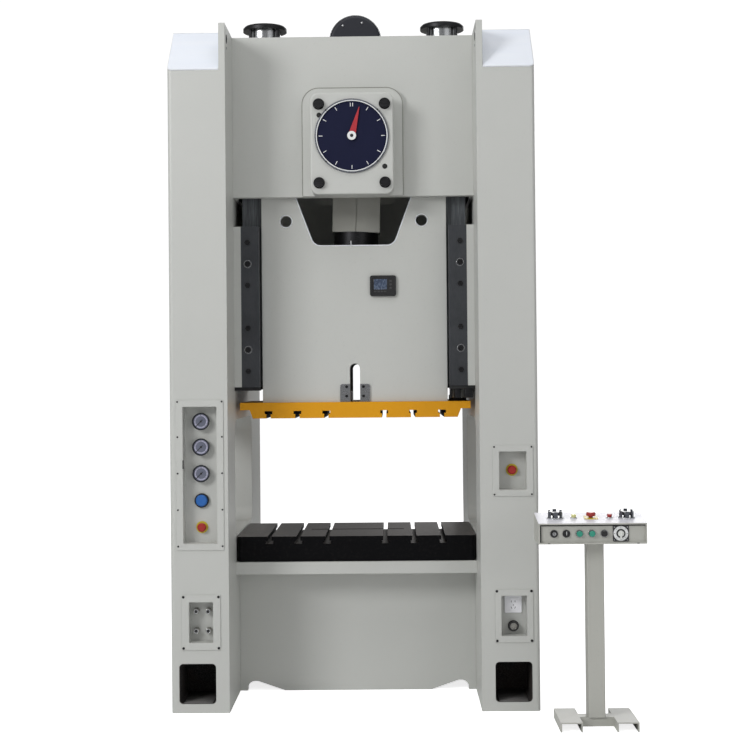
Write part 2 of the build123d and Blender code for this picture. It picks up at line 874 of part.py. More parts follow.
def turned(plane, points, mode=Mode.ADD):
    """Turn a profile of (radius, height) points about the normal of a plane."""
    with BuildSketch(Plane(plane.origin, x_dir=plane.x_dir, z_dir=-plane.y_dir)) as section:
        with BuildLine():
            Polyline(*points, close=True)
        make_face()
    revolve(section.sketch, axis=Axis(plane.origin, plane.z_dir), mode=mode)


def belt_grooves(radius, x, z):
    """Cut one groove for each belt into the rim of a pulley."""
    for index in range(belt_count):
        middle_y = flywheel_middle_y + (index - (belt_count - 1) / 2) * belt_pitch
        groove_y = middle_y - belt_width / 2 - belt_clearance
        with BuildSketch(front_plane(groove_y, x, z)) as groove:
            Circle(radius + 1)
            Circle(radius - belt_depth - belt_clearance, mode=Mode.SUBTRACT)
        extrude(groove.sketch, amount=-belt_width - 2 * belt_clearance, mode=Mode.SUBTRACT)


# Main gear on the back end of the crankshaft
rim_inner_radius = gear_module * (main_gear_teeth / 2 - dedendum_factor) - gear_rim_depth
with BuildPart() as main_gear:
    with BuildSketch(front_plane(gear_front_y, 0, crank_height)):
        with BuildLine():
            Polyline(*gear_profile(main_gear_teeth, mesh_angle - 180 / main_gear_teeth), close=True)
        make_face()
        Circle(gear_seat_radius, mode=Mode.SUBTRACT)
        with PolarLocations((rim_inner_radius + gear_hub_radius) / 2, gear_hole_count):
            Circle(gear_hole_radius, mode=Mode.SUBTRACT)
    extrude(amount=-gear_face_width)
    gear_y = (gear_front_y, gear_rear_y)
    lightened_disc(rim_inner_radius, gear_hub_radius, gear_web_thickness, 0, gear_y, crank_height)
save(main_gear, "main_gear")

# Drive shaft with its cut pinion, brake disc at the front and clutch at the back
brake_rear_y = window_rear_y - 2 * bush_flange_thickness
with BuildPart() as pinion_shaft:
    with BuildSketch(front_plane(gear_front_y, pinion_offset, pinion_z)):
        with BuildLine():
            Polyline(*gear_profile(pinion_teeth, mesh_angle + 180), close=True)
        make_face()
    extrude(amount=-gear_face_width)
    shaft_front_y = brake_rear_y - brake_disc_thickness - clutch_gap
    bar_y(drive_shaft_radius, pinion_offset, (shaft_front_y, clutch_rear_y + clutch_gap), pinion_z)
    bar_y(brake_disc_radius, pinion_offset, (brake_rear_y - brake_disc_thickness, brake_rear_y), pinion_z)
    bar_y(clutch_radius, pinion_offset, (clutch_front_y, clutch_rear_y), pinion_z)
    with BuildSketch(front_plane(clutch_rear_y, pinion_offset, pinion_z)):
        with PolarLocations(clutch_bolt_circle_radius, clutch_bolt_count):
            RegularPolygon(clutch_bolt_radius, 6)
    extrude(amount=-clutch_gap)
save(pinion_shaft, "pinion_shaft")

with BuildPart() as flywheel:
    flywheel_y = (flywheel_front_y, flywheel_rear_y)
    bar_y(flywheel_radius, pinion_offset, flywheel_y, pinion_z)
    lightened_disc(
        flywheel_radius - flywheel_rim_depth,
        flywheel_hub_radius,
        flywheel_web_thickness,
        pinion_offset,
        flywheel_y,
        pinion_z,
    )
    bar_y(drive_shaft_radius + running_clearance, pinion_offset, flywheel_y, pinion_z, Mode.SUBTRACT)
    belt_grooves(flywheel_radius, pinion_offset, pinion_z)
save(flywheel, "flywheel")

# Motor pulley with the rotor shaft that carries it
pulley_inset = (flywheel_width - belt_count * belt_pitch) / 2
with BuildPart() as motor_pulley:
    pulley_y = (flywheel_front_y + pulley_inset, flywheel_rear_y - pulley_inset)
    bar_y(pulley_radius, 0, pulley_y, motor_z)
    belt_grooves(pulley_radius, 0, motor_z)
    bar_y(pulley_shaft_radius, 0, (motor_rear_y + belt_clearance, pulley_y[1] + pulley_inset / 2), motor_z)
save(motor_pulley, "motor_pulley")

with BuildPart() as v_belts:
    for index in range(belt_count):
        belt_y = flywheel_middle_y + (index - (belt_count - 1) / 2) * belt_pitch - belt_width / 2
        with BuildSketch(front_plane(belt_y)) as loop:
            with Locations((pinion_offset, pinion_z)):
                Circle(flywheel_radius)
            with Locations((0, motor_z)):
                Circle(pulley_radius)
            make_hull()
        with BuildSketch(front_plane(belt_y)) as inside:
            with Locations((pinion_offset, pinion_z)):
                Circle(flywheel_radius - belt_depth)
            with Locations((0, motor_z)):
                Circle(pulley_radius - belt_depth)
            make_hull()
        extrude(loop.sketch - inside.sketch, amount=-belt_width)
save(v_belts, "v_belts")

# Guard over the flywheel and the belts, with a sleeve round the drive shaft to the bearing plate
with BuildPart() as rear_guard:
    for wall, guard_y, mode in (
        (0, (guard_front_y, guard_rear_y), Mode.ADD),
        (guard_wall, (guard_front_y + guard_wall, guard_rear_y - guard_wall), Mode.SUBTRACT),
    ):
        with BuildSketch(front_plane(guard_y[0])):
            with Locations((pinion_offset, pinion_z)):
                Circle(flywheel_radius + guard_gap - wall)
            with Locations((0, motor_z)):
                Circle(pulley_radius + guard_gap - wall)
            make_hull()
        extrude(amount=guard_y[0] - guard_y[1], mode=mode)
    sleeve_radius = drive_shaft_radius + bush_thickness + bush_flange + guard_wall
    bar_y(sleeve_radius + guard_wall, pinion_offset, (bearing_plate_rear_y, guard_front_y), pinion_z)
    sleeve_y = (bearing_plate_rear_y, guard_front_y + guard_wall)
    bar_y(sleeve_radius, pinion_offset, sleeve_y, pinion_z, Mode.SUBTRACT)
    front_wall_y = (guard_front_y, guard_front_y + guard_wall)
    bar_y(guard_shaft_hole_radius, 0, front_wall_y, motor_z, Mode.SUBTRACT)
save(rear_guard, "rear_guard")

# Main motor on the crown: finned body, feet, terminal box and fan cowl facing the front
with BuildPart() as main_motor:
    cowl_rear_y = motor_front_y + motor_cowl_length
    bar_y(motor_body_radius, 0, (cowl_rear_y, motor_rear_y), motor_z)
    with BuildSketch(front_plane(cowl_rear_y, 0, motor_z)):
        with PolarLocations(motor_body_radius, motor_fin_count, start_angle=180 / motor_fin_count):
            Rectangle(motor_fin_height * 2, motor_fin_thickness)
    extrude(amount=cowl_rear_y - motor_rear_y + motor_fin_height)
    bar_y(motor_cowl_radius, 0, (motor_front_y, cowl_rear_y + motor_cowl_wall), motor_z)
    cowl_edge = main_motor.edges().filter_by(GeomType.CIRCLE).sort_by(Axis.Y)[0]
    fillet(cowl_edge, motor_cowl_fillet)
    foot_reach = motor_body_radius + motor_foot_width / 2
    motor_foot_y = (cowl_rear_y + motor_foot_width, motor_rear_y - motor_foot_width / 2)
    block((-foot_reach, foot_reach), motor_foot_y, (frame_height, frame_height + motor_foot_thickness))
    base_x = (-motor_base_half_width, motor_base_half_width)
    block(base_x, motor_foot_y, (frame_height, motor_z - motor_body_radius / 2))
    terminal_y = (cowl_rear_y + motor_foot_width, cowl_rear_y + motor_foot_width + terminal_box_size)
    terminal_z = (motor_z - terminal_box_size, motor_z)
    block((0, motor_body_radius + terminal_box_size / 2), terminal_y, terminal_z)
save(main_motor, "main_motor")

# Slide: welded box with a U-shaped window at the front, a shorter one round the shaft at the
# back, guide wings and lugs for the balance rods
window_slope = (window_half_width_high - window_half_width_bottom) / (window_high - window_bottom)
window_half_width_top = window_half_width_bottom + window_slope * (slide_top - window_bottom)
gib_rear_y = inner_front_y + gib_thickness
wing_front_y = gib_rear_y + guide_clearance
with BuildPart() as slide:
    rear_plate_y = slide_rear_y - slide_plate_thickness
    plates = ((slide_front_y, window_bottom), (rear_plate_y, shaft_opening_bottom))
    for face_plate_y, opening_bottom in plates:
        with BuildSketch(front_plane(face_plate_y)) as plate:
            with BuildLine():
                Polyline(
                    (-slide_half, slide_bottom),
                    (slide_half, slide_bottom),
                    (slide_half, slide_top),
                    (window_half_width_top, slide_top),
                    (window_half_width_bottom, opening_bottom),
                    (-window_half_width_bottom, opening_bottom),
                    (-window_half_width_top, slide_top),
                    (-slide_half, slide_top),
                    close=True,
                )
            make_face()
            corners = plate.vertices().filter_by(lambda v: abs(v.Y - opening_bottom) < 1)
            fillet(corners, window_lower_radius)
            with Locations((-lightening_hole_x, lightening_hole_z), (lightening_hole_x, lightening_hole_z)):
                Circle(lightening_hole_radius, mode=Mode.SUBTRACT)
        extrude(amount=-slide_plate_thickness)
    slide_y = (slide_front_y, slide_rear_y)
    for side in (-1, 1):
        wall_x = mirrored(slide_half - slide_plate_thickness, slide_half, side)
        block(wall_x, slide_y, (slide_bottom, slide_top))
        rib_x = mirrored(slide_rib_gap / 2, slide_rib_gap / 2 + slide_rib_thickness, side)
        block(rib_x, slide_y, (slide_bottom, window_bottom - window_lower_radius))
        wing_x = mirrored(slide_half, gib_outer - guide_clearance, side)
        wing_front = (wing_front_y, wing_front_y + wing_depth)
        wing_rear = (2 * axis_y - wing_front[1], 2 * axis_y - wing_front[0])
        for wing_y in (wing_front, wing_rear):
            block(wing_x, wing_y, (wing_bottom, slide_top))
        lug_x = mirrored(slide_half - slide_plate_thickness, balance_x + 2 * balance_rod_radius, side)
        block(lug_x, (axis_y - lug_depth / 2, axis_y + lug_depth / 2), (slide_top - lug_height, slide_top))
    inner_x = (-slide_half, slide_half)
    block(inner_x, slide_y, (slide_bottom, slide_bottom + slide_floor_thickness))
    seat_x = (-slide_rib_gap / 2, slide_rib_gap / 2)
    block(seat_x, slide_y, (seat_top - seat_plate_thickness, seat_top))
    bar_z(seat_cup_radius, 0, axis_y, (seat_top, seat_top + seat_cup_height))
    bar_z(seat_cup_radius - seat_cup_wall, 0, axis_y, (seat_top, seat_top + seat_cup_height), Mode.SUBTRACT)
    with BuildSketch(front_plane(slide_front_y)):
        with Locations((0, slide_bottom + (knockout_top - slide_bottom - knockout_width / 2) / 2)):
            Rectangle(knockout_width, knockout_top - slide_bottom - knockout_width / 2)
        with Locations((0, knockout_top - knockout_width / 2)):
            Circle(knockout_width / 2)
    extrude(amount=-slide_depth, mode=Mode.SUBTRACT)
save(slide, "slide")

# Die-height indicator and knock-out bracket on the slide front
with BuildPart() as height_indicator:
    indicator_y = (slide_front_y - indicator_thickness, slide_front_y)
    front_prism(indicator_width, indicator_height, indicator_frame, indicator_x, indicator_y, indicator_z)
    glass_width = indicator_width - 2 * indicator_frame
    glass_height = indicator_height - 2 * indicator_frame
    recess_y = (indicator_y[0], indicator_y[0] + indicator_thickness / 4)
    glass_radius = indicator_frame / 3
    front_prism(glass_width, glass_height, glass_radius, indicator_x, recess_y, indicator_z, Mode.SUBTRACT)
save(height_indicator, "height_indicator")

with BuildPart() as knockout_bracket:
    with BuildSketch(front_plane(slide_front_y)) as outline:
        with Locations((0, slide_bottom + knockout_bracket_height / 2)):
            Rectangle(knockout_bracket_width, knockout_bracket_height)
        fillet(outline.vertices().group_by(Axis.Y)[-1], knockout_bracket_radius)
        with Locations((0, slide_bottom + knockout_bracket_height / 2)):
            Rectangle(knockout_width, knockout_bracket_height, mode=Mode.SUBTRACT)
    extrude(amount=knockout_bracket_thickness)
save(knockout_bracket, "knockout_bracket")


def tslot_cuts(surface_z, into, y):
    """Cut the T-slots into a surface; into is 1 for slots cut upwards and -1 for slots cut downwards."""
    neck_z = sorted((surface_z, surface_z + into * tslot_depth))
    head_z = sorted((surface_z + into * tslot_depth, surface_z + into * (tslot_depth - tslot_head_height)))
    for index in (-3, -2, -1, 1, 2, 3):
        slot_x = index * tslot_pitch
        block((slot_x - tslot_neck / 2, slot_x + tslot_neck / 2), y, neck_z, Mode.SUBTRACT)
        block((slot_x - tslot_head / 2, slot_x + tslot_head / 2), y, head_z, Mode.SUBTRACT)


# Slide plate under the slide, with flanges at its ends and T-slots underneath
slide_plate_y = (axis_y - slide_plate_depth / 2, axis_y + slide_plate_depth / 2)
flange_bottom = slide_bottom - slide_flange_height
with BuildPart() as slide_plate:
    with BuildSketch(front_plane(slide_plate_y[0])):
        with BuildLine():
            Polyline(
                (-slide_flange_half_width, slide_bottom),
                (slide_flange_half_width, slide_bottom),
                (slide_flange_half_width, flange_bottom),
                (slide_plate_half_width_high, flange_bottom),
                (slide_plate_half_width_low, slide_plate_bottom),
                (-slide_plate_half_width_low, slide_plate_bottom),
                (-slide_plate_half_width_high, flange_bottom),
                (-slide_flange_half_width, flange_bottom),
                close=True,
            )
        make_face()
    extrude(amount=-slide_plate_depth)
    tslot_cuts(slide_plate_bottom, 1, slide_plate_y)
save(slide_plate, "slide_plate")

# Bolster on the bed, with T-slots from front to back and a cross groove
bolster_y = (axis_y - bolster_depth / 2, axis_y + bolster_depth / 2)
with BuildPart() as bolster:
    with BuildSketch(Plane.XY.offset(bolster_bottom)):
        with Locations((0, axis_y)):
            RectangleRounded(2 * bolster_half, bolster_depth, bolster_corner_radius)
    extrude(amount=bolster_height)
    tslot_cuts(bolster_top, -1, bolster_y)
    block(
        (-cross_groove_half_length, cross_groove_half_length),
        (axis_y - cross_groove_width / 2, axis_y + cross_groove_width / 2),
        (bolster_top - cross_groove_depth, bolster_top),
        Mode.SUBTRACT,
    )
save(bolster, "bolster")

# Guides: a painted bracket and a dark gib block at each corner of the slide
bracket_front = (inner_front_y, wing_front_y + wing_depth)
bracket_rear = (2 * axis_y - bracket_front[1], 2 * axis_y - bracket_front[0])
gib_front = (inner_front_y, gib_rear_y)
gib_back = (2 * axis_y - gib_front[1], 2 * axis_y - gib_front[0])
gib_z = (gib_bottom, gib_top)
with BuildPart() as gib_brackets:
    for side in (-1, 1):
        for bracket_y in (bracket_front, bracket_rear):
            block(mirrored(gib_outer, throat_half, side), bracket_y, gib_z)
save(gib_brackets, "gib_brackets")

with BuildPart() as gib_blocks:
    for side in (-1, 1):
        for block_y in (gib_front, gib_back):
            block(mirrored(gib_inner, gib_outer, side), block_y, gib_z)
save(gib_blocks, "gib_blocks")

gib_middle_z = (gib_bottom + gib_top) / 2
gib_bolt_x = (gib_inner + gib_outer) / 2 + gib_bolt_offset
gib_bolt_places = [
    (side * gib_bolt_x, gib_middle_z + step * gib_bolt_pitch)
    for side in (-1, 1)
    for step in (-3, -2, -1, 1, 2, 3)
]
with BuildPart() as gib_bolts:
    for bolt_y, outward in ((gib_front[0], 1), (gib_back[1], -1)):
        with BuildSketch(front_plane(bolt_y)):
            with Locations(*gib_bolt_places):
                RegularPolygon(gib_bolt_radius, 6)
        extrude(amount=outward * gib_bolt_height)
save(gib_bolts, "gib_bolts")

# Counterbalance cylinders on the crown, their caps and tie rods, and the rods that hold the slide
flange_top = frame_height + balance_flange_thickness
with BuildPart() as balance_cylinders:
    for side in (-1, 1):
        bar_z(balance_tube_radius, side * balance_x, axis_y, (balance_tube_bottom, balance_tube_top))
        bar_z(balance_flange_radius, side * balance_x, axis_y, (frame_height, flange_top))
        bore_z = (balance_tube_bottom + balance_flange_thickness, balance_tube_top)
        bar_z(balance_bore_radius, side * balance_x, axis_y, bore_z, Mode.SUBTRACT)
        gland_z = (balance_tube_bottom, balance_tube_bottom + balance_flange_thickness)
        gland_radius = balance_rod_radius + running_clearance
        bar_z(gland_radius, side * balance_x, axis_y, gland_z, Mode.SUBTRACT)
save(balance_cylinders, "balance_cylinders")

with BuildPart() as balance_caps:
    for side in (-1, 1):
        inner_radius = balance_flange_radius - balance_cap_step
        turned(
            Plane((side * balance_x, axis_y, balance_tube_top)),
            (
                (0, 0),
                (balance_flange_radius, 0),
                (balance_flange_radius, balance_cap_height - balance_cap_step),
                (inner_radius, balance_cap_height),
                (0, balance_cap_height),
            ),
        )
    with BuildSketch(Plane.XY.offset(flange_top)):
        with Locations((-balance_x, axis_y), (balance_x, axis_y)):
            with PolarLocations(tie_rod_circle, 4, start_angle=45):
                Circle(tie_rod_radius)
    extrude(amount=balance_tube_top - flange_top)
save(balance_caps, "balance_caps")

piston_top = balance_tube_top - balance_piston_drop
with BuildPart() as balance_rods:
    for side in (-1, 1):
        bar_z(balance_rod_radius, side * balance_x, axis_y, (slide_top, piston_top))
        piston_z = (piston_top - balance_piston_height, piston_top)
        bar_z(balance_bore_radius - piston_clearance, side * balance_x, axis_y, piston_z)
save(balance_rods, "balance_rods")

# Sheet-metal boxes let into the uprights: a flange on the front and a recessed tray behind it
floor_y = front_y + recess_depth
left_box_x = -upright_centre_x + left_box_shift
right_box_x = upright_centre_x + right_box_shift
panel_holes = (blue_button_z, left_stop_z)
stop_holes = (stop_centre_z,)
box_rows = (
    ("left_panel", left_box_x, panel_centre_z, panel_frame_width, panel_frame_height,
     panel_opening_width, panel_opening_height, panel_holes),
    ("right_panel", right_box_x, stop_centre_z, stop_frame_width, stop_frame_height,
     stop_opening_width, stop_opening_height, stop_holes),
    ("left_service_box", left_box_x, air_centre_z, air_frame_width, air_frame_height,
     air_opening_width, air_opening_height, ()),
    ("right_service_box", right_box_x, power_centre_z, power_frame_width, power_frame_height,
     power_opening_width, power_opening_height, ()),
)
flange_y = (front_y - flange_thickness, front_y)
for label, x, z, flange_width, flange_height, width, height, holes in box_rows:
    with BuildPart() as sheet_box:
        front_prism(flange_width, flange_height, box_corner_radius, x, flange_y, z)
        tray_y = (front_y, floor_y + sheet_thickness)
        tray_width = width + 2 * sheet_thickness
        tray_height = height + 2 * sheet_thickness
        front_prism(tray_width, tray_height, box_corner_radius, x, tray_y, z)
        inside_radius = box_corner_radius - sheet_thickness
        front_prism(width, height, inside_radius, x, (flange_y[0], floor_y), z, Mode.SUBTRACT)
        for hole_z in holes:
            hole_y = (floor_y, floor_y + sheet_thickness)
            bar_y(stem_radius + stem_clearance, x, hole_y, hole_z, Mode.SUBTRACT)
    save(sheet_box, label)

# Pressure gauges and their needles
with BuildPart() as pressure_gauges:
    for gauge_z in gauge_heights:
        turned(
            front_plane(floor_y, left_box_x, gauge_z),
            (
                (0, 0),
                (gauge_radius - gauge_rim, 0),
                (gauge_radius - gauge_rim, gauge_depth / 2),
                (gauge_radius, gauge_depth / 2),
                (gauge_radius, gauge_depth),
                (gauge_radius - gauge_rim, gauge_depth),
                (gauge_radius - gauge_rim, gauge_depth - gauge_recess),
                (0, gauge_depth - gauge_recess),
            ),
        )
save(pressure_gauges, "pressure_gauges")

gauge_face_y = floor_y - gauge_depth + gauge_recess
for index, gauge_z in enumerate(gauge_heights, start=1):
    angle = radians(gauge_needle_angle)
    gauge_plane = Plane(
        origin=(left_box_x, gauge_face_y - gauge_needle_thickness, gauge_z),
        x_dir=(cos(angle), 0, sin(angle)),
        z_dir=(0, -1, 0),
    )
    with BuildPart() as gauge_needle:
        with BuildSketch(gauge_plane):
            with Locations((gauge_needle_length / 4, 0)):
                Rectangle(gauge_needle_length, gauge_needle_width)
            Circle(gauge_needle_hub_radius)
        extrude(amount=gauge_needle_thickness)
    save(gauge_needle, f"gauge_needle_{index}")


def push_button(label, plane, head_radius, head_height, neck_radius, neck_height, stem):
    """A button: a bevelled head on a neck, with a stem that runs through its panel."""
    bevel = head_height / 3
    with BuildPart() as button:
        turned(plane, ((0, -stem_length), (stem, -stem_length), (stem, neck_height), (0, neck_height)))
        base = neck_height * 3 / 4
        turned(plane, ((0, base), (neck_radius, base), (neck_radius, neck_height), (0, neck_height)))
        turned(
            plane,
            (
                (0, neck_height),
                (head_radius, neck_height),
                (head_radius, neck_height + head_height - bevel),
                (head_radius - bevel, neck_height + head_height),
                (0, neck_height + head_height),
            ),
        )
    save(button, label)


def deck_plane(x):
    """A plane on the sloped deck of the console, facing up and forward."""
    y = console_front_y + deck_control_inset
    z = console_front_top + deck_control_inset * tan(deck_tilt)
    return Plane(origin=(x, y, z), x_dir=(1, 0, 0), z_dir=(0, -sin(deck_tilt), cos(deck_tilt)))


# Push-buttons and emergency stops
push_button(
    "blue_button",
    front_plane(floor_y, left_box_x, blue_button_z),
    blue_button_radius,
    blue_button_height,
    stem_radius,
    button_lift,
    stem_radius,
)
stop_places = (
    ("left_stop_button", front_plane(floor_y, left_box_x, left_stop_z)),
    ("right_stop_button", front_plane(floor_y, right_box_x, stop_centre_z)),
    ("console_stop_button", deck_plane(console_stop_x)),
)
for label, place in stop_places:
    push_button(
        label, place, stop_radius, stop_head_height, stop_neck_radius, stop_neck_height, stem_radius
    )

with BuildPart() as stop_plates:
    for label, place in stop_places:
        with BuildSketch(place) as ring:
            if label.startswith("console"):
                RectangleRounded(console_stop_plate, console_stop_plate, box_corner_radius)
            else:
                Circle(stop_ring_radius)
            Circle(stem_radius + stem_clearance, mode=Mode.SUBTRACT)
        extrude(amount=stop_ring_thickness)
save(stop_plates, "stop_plates")

# Air nipples in the left service box and the round connector in the right one
with BuildPart() as service_fittings:
    with BuildSketch(front_plane(floor_y, left_box_x, air_centre_z)):
        with GridLocations(nipple_spacing_x, nipple_spacing_z, 2, 2):
            RegularPolygon(nipple_hex / 2, 6, major_radius=False)
    extrude(amount=nipple_length / 3)
    with BuildSketch(front_plane(floor_y, left_box_x, air_centre_z)):
        with GridLocations(nipple_spacing_x, nipple_spacing_z, 2, 2):
            Circle(nipple_radius)
    extrude(amount=nipple_length)
    with BuildSketch(front_plane(floor_y - nipple_length, left_box_x, air_centre_z)):
        with GridLocations(nipple_spacing_x, nipple_spacing_z, 2, 2):
            Circle(nipple_radius / 2)
    extrude(amount=-nipple_length / 2, mode=Mode.SUBTRACT)
    turned(
        front_plane(floor_y, right_box_x, connector_z),
        (
            (0, 0),
            (connector_radius, 0),
            (connector_radius, connector_length / 3),
            (connector_shell_radius, connector_length / 3),
            (connector_shell_radius, connector_length),
            (connector_bore_radius, connector_length),
            (connector_bore_radius, connector_length / 2),
            (0, connector_length / 2),
        ),
    )
save(service_fittings, "service_fittings")

with BuildPart() as wall_socket:
    with BuildSketch(front_plane(floor_y, right_box_x, socket_plate_z)):
        RectangleRounded(socket_plate_size, socket_plate_size, socket_plate_radius)
    extrude(amount=socket_plate_thickness)
    socket_edge = wall_socket.faces().sort_by(Axis.Y)[0].outer_wire().edges()
    chamfer(socket_edge, socket_plate_thickness / 4)
save(wall_socket, "wall_socket")

# Console stand: two inverted channels, a cross bar and a square post
foot_y = (front_y + foot_centre_depth - foot_length / 2, front_y + foot_centre_depth + foot_length / 2)
post_y = front_y + foot_centre_depth
with BuildPart() as console_stand:
    for side in (-1, 1):
        channel_x = console_x + side * foot_pitch / 2
        block((channel_x - foot_width / 2, channel_x + foot_width / 2), foot_y, (0, foot_height))
    bar_x = (console_x - foot_pitch / 2, console_x + foot_pitch / 2)
    block(bar_x, (post_y - cross_bar_width / 2, post_y + cross_bar_width / 2), (0, foot_height))
    for side in (-1, 1):
        channel_x = console_x + side * foot_pitch / 2
        inner_half = foot_width / 2 - foot_wall
        inside_x = (channel_x - inner_half, channel_x + inner_half)
        block(inside_x, foot_y, (0, foot_height - foot_wall), Mode.SUBTRACT)
    with BuildSketch(Plane.XY.offset(foot_height)):
        with Locations((console_x, post_y)):
            RectangleRounded(post_width, post_depth, foot_wall)
            Rectangle(post_width - 2 * foot_wall, post_depth - 2 * foot_wall, mode=Mode.SUBTRACT)
    extrude(amount=post_top - foot_height)
save(console_stand, "console_stand")

# Console box: folded sheet with a sloped deck and a front panel set back under it
box_x = (console_box_left, console_box_left + console_box_width)
front_places = (
    ("key_switch", key_switch_x),
    ("mode_selector", selector_x),
    ("green_button_1", green_button_xs[0]),
    ("green_button_2", green_button_xs[1]),
    ("black_button", black_button_x),
    ("cam_switch", cam_switch_x),
)
palm_xs = (palm_button_x, palm_button_x + palm_button_pitch)
cavity_slope = tan(deck_tilt)
cavity_front_y = console_panel_y + console_wall
cavity_rear_y = console_rear_y - console_wall
with BuildPart() as console_box:
    with BuildSketch(side_plane(box_x[0])):
        with BuildLine():
            Polyline(
                (console_front_y, post_top),
                (console_front_y, console_front_top),
                (console_rear_y, console_rear_top),
                (console_rear_y, post_top),
                close=True,
            )
        make_face()
    extrude(amount=console_box_width)
    with BuildSketch(side_plane(box_x[0] + console_wall)):
        with BuildLine():
            cavity_floor = post_top + console_wall
            cavity_top = console_front_top - console_wall / cos(deck_tilt)
            Polyline(
                (cavity_front_y, cavity_floor),
                (cavity_front_y, cavity_top + (cavity_front_y - console_front_y) * cavity_slope),
                (cavity_rear_y, cavity_top + (cavity_rear_y - console_front_y) * cavity_slope),
                (cavity_rear_y, cavity_floor),
                close=True,
            )
        make_face()
    extrude(amount=console_box_width - 2 * console_wall, mode=Mode.SUBTRACT)
    block(
        (box_x[0] + console_recess_margin, box_x[1] - console_recess_margin),
        (console_front_y, console_panel_y),
        (post_top + console_recess_margin, console_front_top - console_recess_margin),
        Mode.SUBTRACT,
    )
    for label, x in front_places:
        hole_y = (console_panel_y, console_panel_y + console_wall)
        bar_y(stem_small_radius + stem_clearance, x, hole_y, front_control_z, Mode.SUBTRACT)
    for x in palm_xs + small_button_xs + (console_stop_x,):
        with BuildSketch(deck_plane(x)) as hole:
            Circle(stem_radius + stem_clearance)
        extrude(hole.sketch, amount=-stem_length, mode=Mode.SUBTRACT)
save(console_box, "console_box")

# Guards round the two palm buttons, and the palm buttons
with BuildPart() as palm_guards:
    for x in palm_xs:
        with BuildSketch(deck_plane(x)) as base:
            Circle(palm_base_radius)
        extrude(base.sketch, amount=palm_base_height)
        with BuildSketch(deck_plane(x).offset(palm_base_height)) as ring:
            Circle(palm_guard_radius)
            Circle(palm_guard_radius - palm_guard_wall, mode=Mode.SUBTRACT)
            with PolarLocations(palm_guard_radius, 6):
                Rectangle(palm_guard_wall * 4, palm_guard_radius / 2, mode=Mode.SUBTRACT)
        extrude(ring.sketch, amount=palm_guard_height)
        with BuildSketch(deck_plane(x)) as bore:
            Circle(stem_radius + stem_clearance)
        extrude(bore.sketch, amount=palm_base_height, mode=Mode.SUBTRACT)
save(palm_guards, "palm_guards")

palm_neck = palm_base_height + button_lift
for label, x in (("left_palm_button", palm_xs[0]), ("right_palm_button", palm_xs[1])):
    push_button(
        label, deck_plane(x), palm_button_radius, palm_button_height, stem_radius, palm_neck, stem_radius
    )
for label, x in (("left_deck_button", small_button_xs[0]), ("right_deck_button", small_button_xs[1])):
    head = (small_button_radius, small_button_height)
    push_button(label, deck_plane(x), *head, stem_radius, button_lift, stem_radius)

# Bezels of the controls on the console front, and the controls
with BuildPart() as switch_bezels:
    for label, x in front_places:
        with BuildSketch(front_plane(console_panel_y, x, front_control_z)) as bezel:
            if label == "cam_switch":
                RectangleRounded(cam_plate_size, cam_plate_size, box_corner_radius)
            else:
                Circle(front_bezel_radius)
            Circle(stem_small_radius + stem_clearance, mode=Mode.SUBTRACT)
        extrude(bezel.sketch, amount=front_bezel_thickness)
save(switch_bezels, "switch_bezels")

front_neck = front_bezel_thickness + button_lift / 2
for label, x in front_places[2:5]:
    place = front_plane(console_panel_y, x, front_control_z)
    push_button(
        label,
        place,
        front_button_radius,
        front_button_height,
        stem_small_radius,
        front_neck,
        stem_small_radius,
    )

for label, x, radius, height in (
    ("key_switch", key_switch_x, front_button_radius, front_button_height),
    ("mode_selector", selector_x, front_button_radius, front_button_height),
    ("cam_switch", cam_switch_x, cam_knob_radius, cam_knob_height),
):
    place = front_plane(console_panel_y, x, front_control_z)
    knob_base = front_bezel_thickness + knob_gap
    with BuildPart() as knob:
        turned(
            place,
            (
                (0, -stem_length),
                (stem_small_radius, -stem_length),
                (stem_small_radius, knob_base),
                (radius, knob_base),
                (radius, knob_base + height / 2),
                (0, knob_base + height / 2),
            ),
        )
        with BuildSketch(place.offset(knob_base)) as grip:
            grip_width = cam_grip_width * radius / cam_knob_radius
            SlotOverall(2 * (radius - knob_edge), grip_width, rotation=90)
        extrude(grip.sketch, amount=height)
    save(knob, label)
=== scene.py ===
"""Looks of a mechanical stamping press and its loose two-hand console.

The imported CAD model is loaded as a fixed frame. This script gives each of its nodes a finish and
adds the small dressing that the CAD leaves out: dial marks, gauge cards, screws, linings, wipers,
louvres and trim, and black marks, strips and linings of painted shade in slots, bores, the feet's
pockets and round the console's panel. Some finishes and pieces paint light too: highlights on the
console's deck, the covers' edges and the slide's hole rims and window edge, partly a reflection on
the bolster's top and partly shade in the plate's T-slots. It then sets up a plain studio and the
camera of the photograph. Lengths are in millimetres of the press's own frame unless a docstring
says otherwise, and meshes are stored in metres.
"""

import json
import logging
import math
from collections.abc import Callable, Iterator, Sequence
from contextlib import contextmanager
from dataclasses import dataclass
from enum import Enum

import bmesh
import bpy
from mathutils import Matrix, Vector

